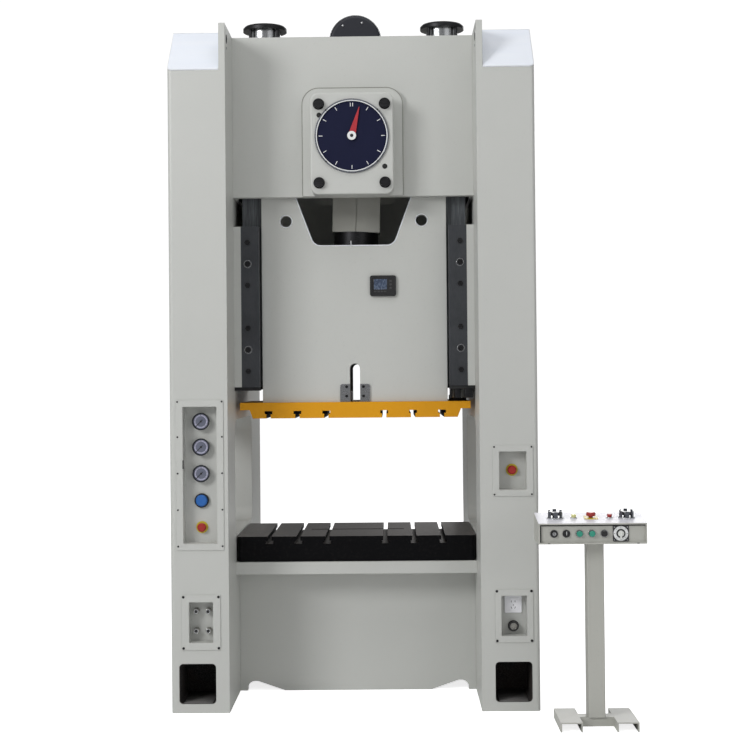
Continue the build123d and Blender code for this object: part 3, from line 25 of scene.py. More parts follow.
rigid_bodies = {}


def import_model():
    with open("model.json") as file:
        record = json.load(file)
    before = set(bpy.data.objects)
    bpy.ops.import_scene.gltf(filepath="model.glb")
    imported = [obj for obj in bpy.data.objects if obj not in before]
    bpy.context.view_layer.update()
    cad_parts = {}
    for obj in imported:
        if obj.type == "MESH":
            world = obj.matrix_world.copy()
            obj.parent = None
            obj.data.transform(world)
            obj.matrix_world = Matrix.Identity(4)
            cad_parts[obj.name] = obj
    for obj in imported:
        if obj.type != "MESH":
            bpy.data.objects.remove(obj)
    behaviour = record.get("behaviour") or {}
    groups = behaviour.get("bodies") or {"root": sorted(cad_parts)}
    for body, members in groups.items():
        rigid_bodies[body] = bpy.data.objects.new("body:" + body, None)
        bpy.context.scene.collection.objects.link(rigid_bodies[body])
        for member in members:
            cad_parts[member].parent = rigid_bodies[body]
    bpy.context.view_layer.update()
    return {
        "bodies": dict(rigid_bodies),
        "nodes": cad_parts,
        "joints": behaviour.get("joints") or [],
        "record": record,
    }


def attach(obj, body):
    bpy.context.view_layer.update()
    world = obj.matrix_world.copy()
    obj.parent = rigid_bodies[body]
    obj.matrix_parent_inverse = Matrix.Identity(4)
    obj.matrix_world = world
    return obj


LOG = logging.getLogger("press")
METRES = 0.001
SMOOTH_ANGLE = math.radians(38)
SHARP_ANGLE = 0.6
STRAIGHT = 0.9
MERGE_DISTANCE = 1e-4
EDGE_STEPS = 2
CUP_STEPS = 6
BAND_STEPS = 10
LATHE_STEPS = 48
DOME_STEPS = 20
SOCKET_SIDES = 24
SLOT_TURN = 30.0

Point = tuple[float, float, float]
Pair = tuple[float, float]
Pairs = tuple[Pair, ...]
Colour = tuple[float, float, float, float]
Socket = bpy.types.NodeSocket
Value = float | tuple[float, ...] | Socket

MIDDLE: Pair = (0.0, 0.0)
WHITE: Colour = (1.0, 1.0, 1.0, 1.0)


def srgb(red: float, green: float, blue: float) -> Colour:
    """Turns a display colour into the linear colour that shaders use.

    Args:
        red: Red from 0 to 255.
        green: Green from 0 to 255.
        blue: Blue from 0 to 255.

    Returns:
        The linear colour with an alpha of one.
    """
    linear = []
    for channel in (red, green, blue):
        share = channel / 255
        linear.append(share / 12.92 if share <= 0.04045 else ((share + 0.055) / 1.055) ** 2.4)
    return (linear[0], linear[1], linear[2], 1.0)


class Wiring:
    """Adds and joins the nodes of one shader tree or node group."""

    def __init__(self, tree: bpy.types.NodeTree) -> None:
        """Empties a node tree so that it can be filled."""
        self.tree = tree
        self.tree.nodes.clear()

    def add(
        self, kind: str, inputs: dict[str | int, Value] | None = None, **settings: object
    ) -> bpy.types.Node:
        """Adds a node, with its settings and inputs.

        Args:
            kind: Blender's type name of the node.
            inputs: Values or sockets by name or number of the input.
            **settings: Properties of the node itself.

        Returns:
            The new node.
        """
        node = self.tree.nodes.new(kind)
        for name, value in settings.items():
            setattr(node, name, value)
        self.feed(node, inputs or {})
        return node

    def feed(self, node: bpy.types.Node, inputs: dict[str | int, Value]) -> None:
        """Sets or links inputs of a node.

        Args:
            node: The node.
            inputs: Constants, or outputs that drive them, by name or number of the input.
        """
        for name, value in inputs.items():
            if isinstance(value, bpy.types.NodeSocket):
                self.tree.links.new(value, node.inputs[name])
            else:
                node.inputs[name].default_value = value

    def math(
        self, operation: str, first: Value, second: Value = 0.0, clamp: bool = False
    ) -> Socket:
        """Adds a maths node by Blender's name, whose result may be kept from zero to one."""
        pair = {0: first, 1: second}
        return self.add("ShaderNodeMath", pair, operation=operation, use_clamp=clamp).outputs[0]

    def product(self, first: Value, second: Value) -> Socket:
        """Adds a product of two values."""
        return self.math("MULTIPLY", first, second)

    def spread(
        self, value: Value, low: float, high: float, to_low: float = 0.0, to_high: float = 1.0
    ) -> Socket:
        """Maps a range onto another, smoothly and clamped.

        Args:
            value: What is mapped.
            low: Start of the range that comes in.
            high: End of the range that comes in.
            to_low: What the start becomes.
            to_high: What the end becomes.

        Returns:
            The mapped value.
        """
        ends = {"From Min": low, "From Max": high, "To Min": to_low, "To Max": to_high}
        node = self.add(
            "ShaderNodeMapRange", {"Value": value, **ends}, interpolation_type="SMOOTHSTEP"
        )
        return node.outputs["Result"]

    def mix(self, factor: Value, first: Value, second: Value, blend: str = "MIX") -> Socket:
        """Mixes two colours by the share of the second, with one of Blender's blends."""
        colours = {0: factor, 6: first, 7: second}
        return self.add("ShaderNodeMix", colours, data_type="RGBA", blend_type=blend).outputs[2]

    def stain(
        self, colour: Value, mask: Socket, share: float, other: Value, blend: str = "MIX"
    ) -> Socket:
        """Lays a share of another colour on a colour where a mask is white."""
        return self.mix(self.product(mask, share), colour, other, blend)

    def place(self) -> Socket:
        """Adds the object's own coordinates, which are metres of the press's frame."""
        return self.add("ShaderNodeTexCoord").outputs["Object"]

    def stretched(self, stretch: Value) -> Socket:
        """Adds the object's coordinates times a stretch along X, Y and Z."""
        factors = {0: self.place(), 1: stretch}
        return self.add("ShaderNodeVectorMath", factors, operation="MULTIPLY").outputs[0]

    def split(self, vector: Socket, axis: str) -> Socket:
        """Adds the part X, Y or Z of a vector."""
        return self.add("ShaderNodeSeparateXYZ", {"Vector": vector}).outputs[axis]

    def along(self, axis: str) -> Socket:
        """Adds the object's coordinate along an axis, in metres."""
        return self.split(self.place(), axis)

    def facing(self, axis: str) -> Socket:
        """Adds how far a face looks along an axis, from minus one to one."""
        return self.split(self.add("ShaderNodeNewGeometry").outputs["Normal"], axis)

    def within(self, value: Socket, limit: float) -> Socket:
        """Adds a mask that is one where a value, without its sign, is below a limit."""
        return self.math("LESS_THAN", self.math("ABSOLUTE", value), limit)

    def noise(
        self, vector: Socket, scale: Value, detail: float = 3.0, roughness: float = 0.55
    ) -> Socket:
        """Adds noise of some waves per metre, read at a vector, with its finer octaves."""
        inputs = {"Vector": vector, "Scale": scale, "Detail": detail, "Roughness": roughness}
        return self.add("ShaderNodeTexNoise", inputs).outputs["Fac"]


class Effect(Enum):
    """The shared surface effects, each a node group."""

    MOTTLE = "surface_mottle"
    RELIEF = "fine_relief"
    GRAIN = "drawn_grain"
    WEAR = "edge_wear"
    DUST = "settled_dust"


class EffectLibrary:
    """Builds each shared node group once and hands it to the finishes that use it."""

    def __init__(self) -> None:
        """Starts with no group built."""
        self.builders: dict[Effect, Callable[[], bpy.types.NodeTree]] = {
            Effect.MOTTLE: self.build_mottle,
            Effect.RELIEF: self.build_relief,
            Effect.GRAIN: self.build_grain,
            Effect.WEAR: self.build_wear,
            Effect.DUST: self.build_dust,
        }
        self.built: dict[Effect, bpy.types.NodeTree] = {}

    def use(self, wiring: Wiring, effect: Effect, **inputs: Value) -> bpy.types.NodeOutputs:
        """Adds one effect to a material's tree.

        Args:
            wiring: The tree that uses the effect.
            effect: Which effect.
            **inputs: Values of the group's inputs, with spaces written as underscores.

        Returns:
            The outputs of the group node.
        """
        if effect not in self.built:
            self.built[effect] = self.builders[effect]()
            LOG.info("node group %s", effect.value)
        values = {name.replace("_", " "): value for name, value in inputs.items()}
        return wiring.add("ShaderNodeGroup", values, node_tree=self.built[effect]).outputs

    def relief(
        self, wiring: Wiring, scale: float, height: float, radius: float
    ) -> bpy.types.NodeOutputs:
        """Adds small bumps of a scale and height on faces whose edges are rounded."""
        return self.use(wiring, Effect.RELIEF, Scale=scale, Height=height, Edge_Radius=radius)

    @staticmethod
    def start(
        effect: Effect, inputs: dict[str, Value], outputs: dict[str, str]
    ) -> tuple[Wiring, dict[str, Socket]]:
        """Starts a node group with its interface.

        Args:
            effect: Which effect it is.
            inputs: Default values by input name.
            outputs: Kinds of socket, float or vector, by output name.

        Returns:
            The group's wiring, and its inputs as sockets inside the group.
        """
        tree = bpy.data.node_groups.new(effect.value, "ShaderNodeTree")
        wiring = Wiring(tree)
        for name, value in inputs.items():
            kind = "NodeSocketVector" if isinstance(value, tuple) else "NodeSocketFloat"
            socket = tree.interface.new_socket(name, in_out="INPUT", socket_type=kind)
            socket.default_value = value
        for name, kind in outputs.items():
            tree.interface.new_socket(name, in_out="OUTPUT", socket_type=f"NodeSocket{kind}")
        entry = wiring.add("NodeGroupInput")
        return wiring, {name: entry.outputs[name] for name in inputs}

    @staticmethod
    def rounded_bump(wiring: Wiring, inputs: dict[str, Socket], level: Socket) -> Socket:
        """Adds bumps on faces whose edges look rounded.

        Args:
            wiring: The group's tree.
            inputs: The group's inputs, of which Edge Radius and Height are read.
            level: Height of the bumps, from zero to one.

        Returns:
            The normal.
        """
        edge = wiring.add("ShaderNodeBevel", {"Radius": inputs["Edge Radius"]}, samples=4)
        relief = {
            "Strength": 1.0,
            "Distance": inputs["Height"],
            "Height": level,
            "Normal": edge.outputs["Normal"],
        }
        return wiring.add("ShaderNodeBump", relief).outputs["Normal"]

    def build_mottle(self) -> bpy.types.NodeTree:
        """Builds the uneven tone of a large painted or cast surface.

        Returns:
            The node group.
        """
        wiring, inputs = self.start(
            Effect.MOTTLE, {"Scale": 2.0}, {"Cloud": "Float", "Speck": "Float"}
        )
        place = wiring.place()
        cloud = wiring.noise(place, inputs["Scale"], 4.0, 0.6)
        fine = wiring.noise(place, wiring.product(inputs["Scale"], 60.0), 2.0, 0.5)
        tones = {"Cloud": wiring.spread(cloud, 0.3, 0.7), "Speck": wiring.spread(fine, 0.62, 0.74)}
        wiring.add("NodeGroupOutput", tones)
        return wiring.tree

    def build_relief(self) -> bpy.types.NodeTree:
        """Builds the small bumps of sprayed paint, moulded plastic or cast metal.

        Returns:
            The node group.
        """
        wiring, inputs = self.start(
            Effect.RELIEF,
            {"Scale": 300.0, "Height": 0.0002, "Edge Radius": 0.002},
            {"Normal": "Vector", "Level": "Float"},
        )
        level = wiring.noise(wiring.place(), inputs["Scale"], 2.0, 0.5)
        normal = self.rounded_bump(wiring, inputs, level)
        wiring.add("NodeGroupOutput", {"Normal": normal, "Level": level})
        return wiring.tree

    def build_grain(self) -> bpy.types.NodeTree:
        """Builds the drawn lines of machined or brushed steel.

        Returns:
            The node group.
        """
        wiring, inputs = self.start(
            Effect.GRAIN,
            {"Stretch": (20.0, 600.0, 600.0), "Height": 0.0001, "Edge Radius": 0.001},
            {"Normal": "Vector", "Lines": "Float"},
        )
        lines = wiring.noise(wiring.stretched(inputs["Stretch"]), 1.0, 4.0, 0.6)
        normal = self.rounded_bump(wiring, inputs, lines)
        wiring.add("NodeGroupOutput", {"Normal": normal, "Lines": lines})
        return wiring.tree

    def build_wear(self) -> bpy.types.NodeTree:
        """Builds a mask of the edges and corners that hands and chips rub.

        Returns:
            The node group.
        """
        wiring, inputs = self.start(
            Effect.WEAR, {"Width": 0.004, "Breakup": 40.0}, {"Edge": "Float", "Chip": "Float"}
        )
        edge = wiring.add("ShaderNodeBevel", {"Radius": inputs["Width"]}, samples=6)
        face = wiring.add("ShaderNodeNewGeometry")
        normals = {0: edge.outputs["Normal"], 1: face.outputs["Normal"]}
        turn = wiring.add("ShaderNodeVectorMath", normals, operation="DOT_PRODUCT")
        away = wiring.math("SUBTRACT", 1.0, turn.outputs["Value"], clamp=True)
        rim = wiring.spread(away, 0.02, 0.3)
        patch = wiring.noise(wiring.place(), inputs["Breakup"], 5.0, 0.65)
        chip = wiring.product(rim, wiring.spread(patch, 0.56, 0.66))
        wiring.add("NodeGroupOutput", {"Edge": rim, "Chip": chip})
        return wiring.tree

    def build_dust(self) -> bpy.types.NodeTree:
        """Builds a mask of the dust that settles on faces that look up.

        Returns:
            The node group.
        """
        wiring, inputs = self.start(Effect.DUST, {"Scale": 12.0}, {"Film": "Float"})
        upward = wiring.spread(wiring.facing("Z"), 0.55, 1.0)
        patch = wiring.noise(wiring.place(), inputs["Scale"], 5.0, 0.6)
        film = wiring.product(upward, wiring.spread(patch, 0.3, 0.75))
        wiring.add("NodeGroupOutput", {"Film": film})
        return wiring.tree


@dataclass(frozen=True)
class Finish:
    """What every finish has: a name, a colour and the shader it drives, in metres.

    Attributes:
        name: Name of the material.
        colour: Linear base colour.
        roughness: Roughness of the clean surface.
    """

    name: str
    colour: Colour
    roughness: float

    def tint(self, wiring: Wiring, colour: Socket) -> Socket:
        """Leaves the colour as it is; a finish with more than one tone changes it."""
        return colour

    def start(self) -> tuple[bpy.types.Material, Wiring, bpy.types.Node]:
        """Starts the material with its shader.

        Returns:
            The material, its wiring and its shader node.
        """
        material = bpy.data.materials.new(self.name)
        material.use_nodes = True
        wiring = Wiring(material.node_tree)
        shader = wiring.add("ShaderNodeBsdfPrincipled")
        wiring.add("ShaderNodeOutputMaterial", {"Surface": shader.outputs["BSDF"]})
        material.diffuse_color = self.colour
        LOG.info("finish %s", self.name)
        return material, wiring, shader

    def build(self, effects: EffectLibrary) -> bpy.types.Material:
        """Builds the material with the shared node groups."""
        raise NotImplementedError


@dataclass(frozen=True)
class PaintFinish(Finish):
    """Sprayed machine paint with orange peel, uneven tone, chipped edges and settled dust.

    Attributes:
        shade: Colour of the darker clouds.
        beneath: Colour that shows where the paint is chipped.
        peel_height: Depth of the orange peel.
        peel_scale: Waves of orange peel per metre.
        edge_radius: Rounding of the edges.
        chips: How strong the chipped edges are.
        dust: How strong the dust is.
        mottle_scale: Clouds per metre.
        coat: Weight of the clear coat.
        mirror: Specular level of the paint itself.
        cloud_share: How strong the clouds are.
        speck_share: How strong the specks are.
        chip_scale: Chips per metre of edge.
        dust_scale: Patches of dust per metre.
        dust_colour: Colour of the dust.
        roughening: Roughness that a cloud and dust add.
        coat_rough: Roughness of the clear coat.
    """

    shade: Colour = srgb(150, 150, 144)
    beneath: Colour = srgb(96, 92, 86)
    peel_height: float = 0.00012
    peel_scale: float = 260.0
    edge_radius: float = 0.004
    chips: float = 0.5
    dust: float = 0.25
    mottle_scale: float = 1.6
    coat: float = 0.15
    mirror: float = 0.5
    cloud_share: float = 0.3
    speck_share: float = 0.05
    chip_scale: float = 45.0
    dust_scale: float = 9.0
    dust_colour: Colour = srgb(172, 166, 152)
    roughening: Pair = (0.08, 0.3)
    coat_rough: float = 0.25

    def build(self, effects: EffectLibrary) -> bpy.types.Material:
        """Builds the painted material.

        Args:
            effects: The shared node groups.

        Returns:
            The material.
        """
        material, wiring, shader = self.start()
        tone = effects.use(wiring, Effect.MOTTLE, Scale=self.mottle_scale)
        peel = effects.relief(wiring, self.peel_scale, self.peel_height, self.edge_radius)
        wear = effects.use(wiring, Effect.WEAR, Width=self.edge_radius, Breakup=self.chip_scale)
        film = effects.use(wiring, Effect.DUST, Scale=self.dust_scale)
        colour = wiring.stain(self.colour, tone["Cloud"], self.cloud_share, self.shade)
        colour = wiring.stain(colour, tone["Speck"], self.speck_share, self.beneath)
        colour = wiring.stain(colour, wear["Chip"], self.chips, self.beneath)
        settled = wiring.product(film["Film"], self.dust)
        colour = wiring.mix(settled, colour, self.dust_colour)
        by_cloud, by_dust = self.roughening
        uneven = wiring.math("ADD", wiring.product(tone["Cloud"], by_cloud), self.roughness)
        dusty = wiring.product(settled, by_dust)
        surface = {
            "Base Color": self.tint(wiring, colour),
            "Roughness": wiring.math("ADD", uneven, dusty, clamp=True),
            "Normal": peel["Normal"],
            "Coat Weight": self.coat,
            "Coat Roughness": self.coat_rough,
            "Specular IOR Level": self.mirror,
        }
        wiring.feed(shader, surface)
        return material


@dataclass(frozen=True)
class PrintedFinish(PaintFinish):
    """Thin, smooth print on a card, a scale or a plastic plate."""

    peel_height: float = 0.00002
    peel_scale: float = 900.0
    edge_radius: float = 0.0004
    chips: float = 0.05


@dataclass(frozen=True)
class RailedPaintFinish(PaintFinish):
    """Machine paint that stops at the oiled steel guide rails on both sides.

    Attributes:
        half_width: Distance from the middle to the rails.
        rail: Colour of the rails.
        rail_bright: Colour of the streaks that the guides leave.
        streaks: Streaks per metre along X, Y and Z.
    """

    half_width: float = 0.4815
    rail: Colour = srgb(72, 76, 80)
    rail_bright: Colour = srgb(104, 108, 112)
    streaks: Point = (180.0, 180.0, 9.0)

    def tint(self, wiring: Wiring, colour: Socket) -> Socket:
        """Keeps the paint to the middle and leaves the rails bare.

        Args:
            wiring: The material's tree.
            colour: The painted colour.

        Returns:
            The colour of the whole piece.
        """
        aside = wiring.math("ABSOLUTE", wiring.along("X"))
        beyond = wiring.math("GREATER_THAN", aside, self.half_width)
        streaks = wiring.noise(wiring.stretched(self.streaks), 1.0, 4.0)
        bare = wiring.mix(wiring.spread(streaks, 0.35, 0.7), self.rail, self.rail_bright)
        return wiring.mix(beyond, colour, bare)


@dataclass(frozen=True)
class SlottedPaintFinish(PaintFinish):
    """Paint outside a plate whose bare, oily steel T-slots and ground underside are near-black,
    which in the slots is partly painted shade.

    Attributes:
        half_width: Distance from the middle that the slots reach.
        top: Height of the plate's painted top.
        bare: Colour of the bare steel, near-black, in the slots partly painted shade.
        front: How far a face may look forwards or back and still count as bare.
    """

    half_width: float = 0.5
    top: float = 1.5215
    bare: Colour = srgb(26, 22, 20)
    front: float = 0.5

    def tint(self, wiring: Wiring, colour: Socket) -> Socket:
        """Keeps the paint off the slots and the underside.

        Args:
            wiring: The material's tree.
            colour: The painted colour.

        Returns:
            The colour of the whole piece.
        """
        # Painted shade in part: slot walls and the underside take the near-black colour.
        aside = wiring.within(wiring.facing("Y"), self.front)
        middle = wiring.within(wiring.along("X"), self.half_width)
        below = wiring.math("LESS_THAN", wiring.along("Z"), self.top)
        slots = wiring.product(wiring.product(aside, middle), below)
        return wiring.mix(slots, colour, self.bare)


@dataclass(frozen=True)
class DeckHighlightPaintFinish(PaintFinish):
    """Machine paint whose high faces that look up get a painted highlight, as if lit from above.

    Attributes:
        highlight_from: Height above which the painted highlight lies.
        deck: Colour of the painted highlight on the deck.
    """

    highlight_from: float = 0.95
    deck: Colour = srgb(242, 241, 248)

    def tint(self, wiring: Wiring, colour: Socket) -> Socket:
        """Paints the highlight on the deck's high faces that look up.

        Args:
            wiring: The material's tree.
            colour: The painted colour.

        Returns:
            The colour of the whole piece.
        """
        # Painted highlight: high faces that look up are mixed to the paler deck colour, as if lit
        # from above.
        upward = wiring.spread(wiring.facing("Z"), 0.7, 0.9)
        high = wiring.math("GREATER_THAN", wiring.along("Z"), self.highlight_from)
        return wiring.mix(wiring.product(upward, high), colour, self.deck)


@dataclass(frozen=True)
class MetalFinish(Finish):
    """Machined, ground or drawn metal with directional lines and bright edges: rubbed wear,
    and on the cover sheet a painted highlight.

    Attributes:
        bright: Colour of the bright edges and the crests of the lines.
        stretch: Waves of grain per metre along X, Y and Z; the lowest runs along the lines.
        line_height: Depth of the lines.
        edge_radius: Rounding of the edges.
        rubbed: How bright the edges are: rubbed wear, and on the cover sheet, at 1.0, a painted
            highlight.
        metallic: Metallic share.
        oil: How strong the dark oil film is.
        oil_colour: Colour of the oil film.
        crest_share: How bright the crests of the lines are.
        wear_scale: Rubbed spots per metre of edge.
        oil_scale: Patches of oil per metre.
        sheen: How much smoother and how much rougher than its roughness the metal gets.
        smoothest: Lowest roughness of any spot.
    """

    bright: Colour = srgb(205, 205, 203)
    stretch: Point = (30.0, 700.0, 700.0)
    line_height: float = 0.00006
    edge_radius: float = 0.0015
    rubbed: float = 0.5
    metallic: float = 1.0
    oil: float = 0.2
    oil_colour: Colour = srgb(40, 33, 27)
    crest_share: float = 0.18
    wear_scale: float = 90.0
    oil_scale: float = 5.0
    sheen: Pair = (0.08, 0.1)
    smoothest: float = 0.03

    def build(self, effects: EffectLibrary) -> bpy.types.Material:
        """Builds the metal.

        Args:
            effects: The shared node groups.

        Returns:
            The material.
        """
        material, wiring, shader = self.start()
        grain = effects.use(
            wiring,
            Effect.GRAIN,
            Stretch=self.stretch,
            Height=self.line_height,
            Edge_Radius=self.edge_radius,
        )
        wear = effects.use(wiring, Effect.WEAR, Width=self.edge_radius, Breakup=self.wear_scale)
        tone = effects.use(wiring, Effect.MOTTLE, Scale=self.oil_scale)
        lines = wiring.spread(grain["Lines"], 0.3, 0.7)
        colour = wiring.stain(self.colour, lines, self.crest_share, self.bright)
        colour = wiring.stain(colour, tone["Cloud"], self.oil, self.oil_colour, "MULTIPLY")
        # Bright edges: rubbed wear, and on the cover sheet a painted highlight.
        colour = wiring.stain(colour, wear["Edge"], self.rubbed, self.bright)
        low = max(self.smoothest, self.roughness - self.sheen[0])
        high = min(1.0, self.roughness + self.sheen[1])
        surface = {
            "Base Color": self.tint(wiring, colour),
            "Roughness": wiring.spread(grain["Lines"], 0.25, 0.75, low, high),
            "Normal": grain["Normal"],
            "Metallic": self.metallic,
        }
        wiring.feed(shader, surface)
        return material


@dataclass(frozen=True)
class GroundTopAndReflectionFinish(MetalFinish):
    """Steel with near-black sides and a paler ground top, which is partly a painted reflection.

    Attributes:
        sides: Colour of the near-black sides.
        speck_scale: Bright specks per metre on the sides.
        speck_share: How strong the specks are.
    """

    sides: Colour = srgb(9, 9, 12)
    speck_scale: float = 60.0
    speck_share: float = 0.06

    def tint(self, wiring: Wiring, colour: Socket) -> Socket:
        """Keeps the ground colour, partly a painted reflection, to the faces that look up.

        Args:
            wiring: The material's tree.
            colour: The ground colour, which partly stands in for a reflection.

        Returns:
            The colour of the whole piece.
        """
        # Painted reflection in part: faces that look up take the paler ground colour.
        upward = wiring.spread(wiring.facing("Z"), 0.6, 0.9)
        specks = wiring.noise(wiring.place(), self.speck_scale)
        shown = wiring.spread(specks, 0.5, 0.9, 0.0, self.speck_share)
        return wiring.mix(upward, wiring.mix(shown, self.sides, self.bright), colour)


@dataclass(frozen=True)
class CastFinish(Finish):
    """Cast iron with a sandy skin, rust in its hollows and a grey film of oil.

    Attributes:
        rust: Colour of the rust film.
        rust_share: How strong the rust is.
        skin_height: Depth of the sandy skin.
        metallic: Metallic share.
        skin_scale: Grains of sand per metre.
        rust_scale: Patches of rust per metre.
        edge_radius: Rounding of the edges.
        wear_scale: Rubbed spots per metre of edge.
        crest: Colour of the crests of the skin.
        crest_share: How bright the crests are.
        rubbed: Colour of the rubbed edges.
        rubbed_share: How bright the edges are.
        skin_rough: What the hollows and the crests of the skin add to the roughness.
    """

    rust: Colour = srgb(92, 60, 42)
    rust_share: float = 0.25
    skin_height: float = 0.0004
    metallic: float = 0.7
    skin_scale: float = 420.0
    rust_scale: float = 7.0
    edge_radius: float = 0.003
    wear_scale: float = 60.0
    crest: Colour = srgb(168, 168, 166)
    crest_share: float = 0.2
    rubbed: Colour = srgb(180, 180, 178)
    rubbed_share: float = 0.35
    skin_rough: Pair = (0.1, -0.05)

    def build(self, effects: EffectLibrary) -> bpy.types.Material:
        """Builds the casting.

        Args:
            effects: The shared node groups.

        Returns:
            The material.
        """
        material, wiring, shader = self.start()
        skin = effects.relief(wiring, self.skin_scale, self.skin_height, self.edge_radius)
        tone = effects.use(wiring, Effect.MOTTLE, Scale=self.rust_scale)
        wear = effects.use(wiring, Effect.WEAR, Width=self.edge_radius, Breakup=self.wear_scale)
        colour = wiring.stain(self.colour, tone["Cloud"], self.rust_share, self.rust)
        crest = wiring.spread(skin["Level"], 0.45, 0.7, 0.0, self.crest_share)
        colour = wiring.mix(crest, colour, self.crest)
        hollow, crown = (self.roughness + more for more in self.skin_rough)
        rough = wiring.spread(skin["Level"], 0.3, 0.7, hollow, crown)
        surface = {
            "Base Color": wiring.stain(colour, wear["Edge"], self.rubbed_share, self.rubbed),
            "Roughness": rough,
            "Normal": skin["Normal"],
            "Metallic": self.metallic,
        }
        wiring.feed(shader, surface)
        return material


@dataclass(frozen=True)
class MouldedFinish(Finish):
    """Moulded plastic or rubber with a fine spark texture and paler, rubbed edges.

    Attributes:
        rubbed: Colour of the rubbed edges.
        texture_height: Depth of the texture.
        texture_scale: Waves of texture per metre.
        edge_radius: Rounding of the edges.
        gloss: Weight of the clear, shiny skin.
        rubbed_share: How strong the rubbed edges are.
        wear_scale: Rubbed spots per metre of edge.
        cloud_scale: Clouds of uneven roughness per metre.
        cloud_rough: Roughness that a cloud adds.
        dust_scale: Patches of dust per metre.
        dust_share: How strong the dust is.
        dust_colour: Colour of the dust.
        coat_rough: Roughness of the skin.
    """

    rubbed: Colour = srgb(120, 120, 120)
    texture_height: float = 0.00003
    texture_scale: float = 1400.0
    edge_radius: float = 0.0008
    gloss: float = 0.2
    rubbed_share: float = 0.3
    wear_scale: float = 160.0
    cloud_scale: float = 16.0
    cloud_rough: float = 0.1
    dust_scale: float = 40.0
    dust_share: float = 0.12
    dust_colour: Colour = srgb(165, 160, 150)
    coat_rough: float = 0.12

    def build(self, effects: EffectLibrary) -> bpy.types.Material:
        """Builds the moulding.

        Args:
            effects: The shared node groups.

        Returns:
            The material.
        """
        material, wiring, shader = self.start()
        skin = effects.relief(wiring, self.texture_scale, self.texture_height, self.edge_radius)
        tone = effects.use(wiring, Effect.MOTTLE, Scale=self.cloud_scale)
        wear = effects.use(wiring, Effect.WEAR, Width=self.edge_radius, Breakup=self.wear_scale)
        film = effects.use(wiring, Effect.DUST, Scale=self.dust_scale)
        colour = wiring.stain(self.colour, wear["Edge"], self.rubbed_share, self.rubbed)
        rougher = self.roughness + self.cloud_rough
        surface = {
            "Base Color": wiring.stain(colour, film["Film"], self.dust_share, self.dust_colour),
            "Roughness": wiring.spread(tone["Cloud"], 0.0, 1.0, self.roughness, rougher),
            "Normal": skin["Normal"],
            "Coat Weight": self.gloss,
            "Coat Roughness": self.coat_rough,
        }
        wiring.feed(shader, surface)
        return material


@dataclass(frozen=True)
class ScreenFinish(Finish):
    """A small display behind glass: faint rows of cells and a soft glow.

    Attributes:
        lit: Colour of the lit rows.
        glow: Strength of the light they give.
        row_scale: Rows per metre, as the wave texture counts them.
        cells: Cells per metre along X, Y and Z.
        lit_share: How strong the lit rows are.
        cell_rough: Roughness that a cell adds.
        skin_scale: Waves of the glass per metre.
        skin_height: Depth of those waves.
        edge_radius: Rounding of the edges.
    """

    lit: Colour = srgb(150, 170, 200)
    glow: float = 0.05
    row_scale: float = 60.0
    cells: Point = (260.0, 1.0, 110.0)
    lit_share: float = 0.35
    cell_rough: float = 0.06
    skin_scale: float = 60.0
    skin_height: float = 0.00001
    edge_radius: float = 0.0006

    def build(self, effects: EffectLibrary) -> bpy.types.Material:
        """Builds the display.

        Args:
            effects: The shared node groups.

        Returns:
            The material.
        """
        material, wiring, shader = self.start()
        wave = {"Vector": wiring.place(), "Scale": self.row_scale}
        rows = wiring.add("ShaderNodeTexWave", wave, bands_direction="Z")
        cells = wiring.noise(wiring.stretched(self.cells), 1.0, 0.0)
        shown = wiring.product(rows.outputs["Fac"], wiring.spread(cells, 0.48, 0.55))
        skin = effects.relief(wiring, self.skin_scale, self.skin_height, self.edge_radius)
        colour = wiring.stain(self.colour, shown, self.lit_share, self.lit)
        rougher = self.roughness + self.cell_rough
        surface = {
            "Base Color": colour,
            "Emission Color": colour,
            "Emission Strength": self.glow,
            "Roughness": wiring.spread(cells, 0.2, 0.8, self.roughness, rougher),
            "Normal": skin["Normal"],
            "Coat Weight": 1.0,
        }
        wiring.feed(shader, surface)
        return material


EVEN_GRAIN: Point = (500.0, 500.0, 500.0)

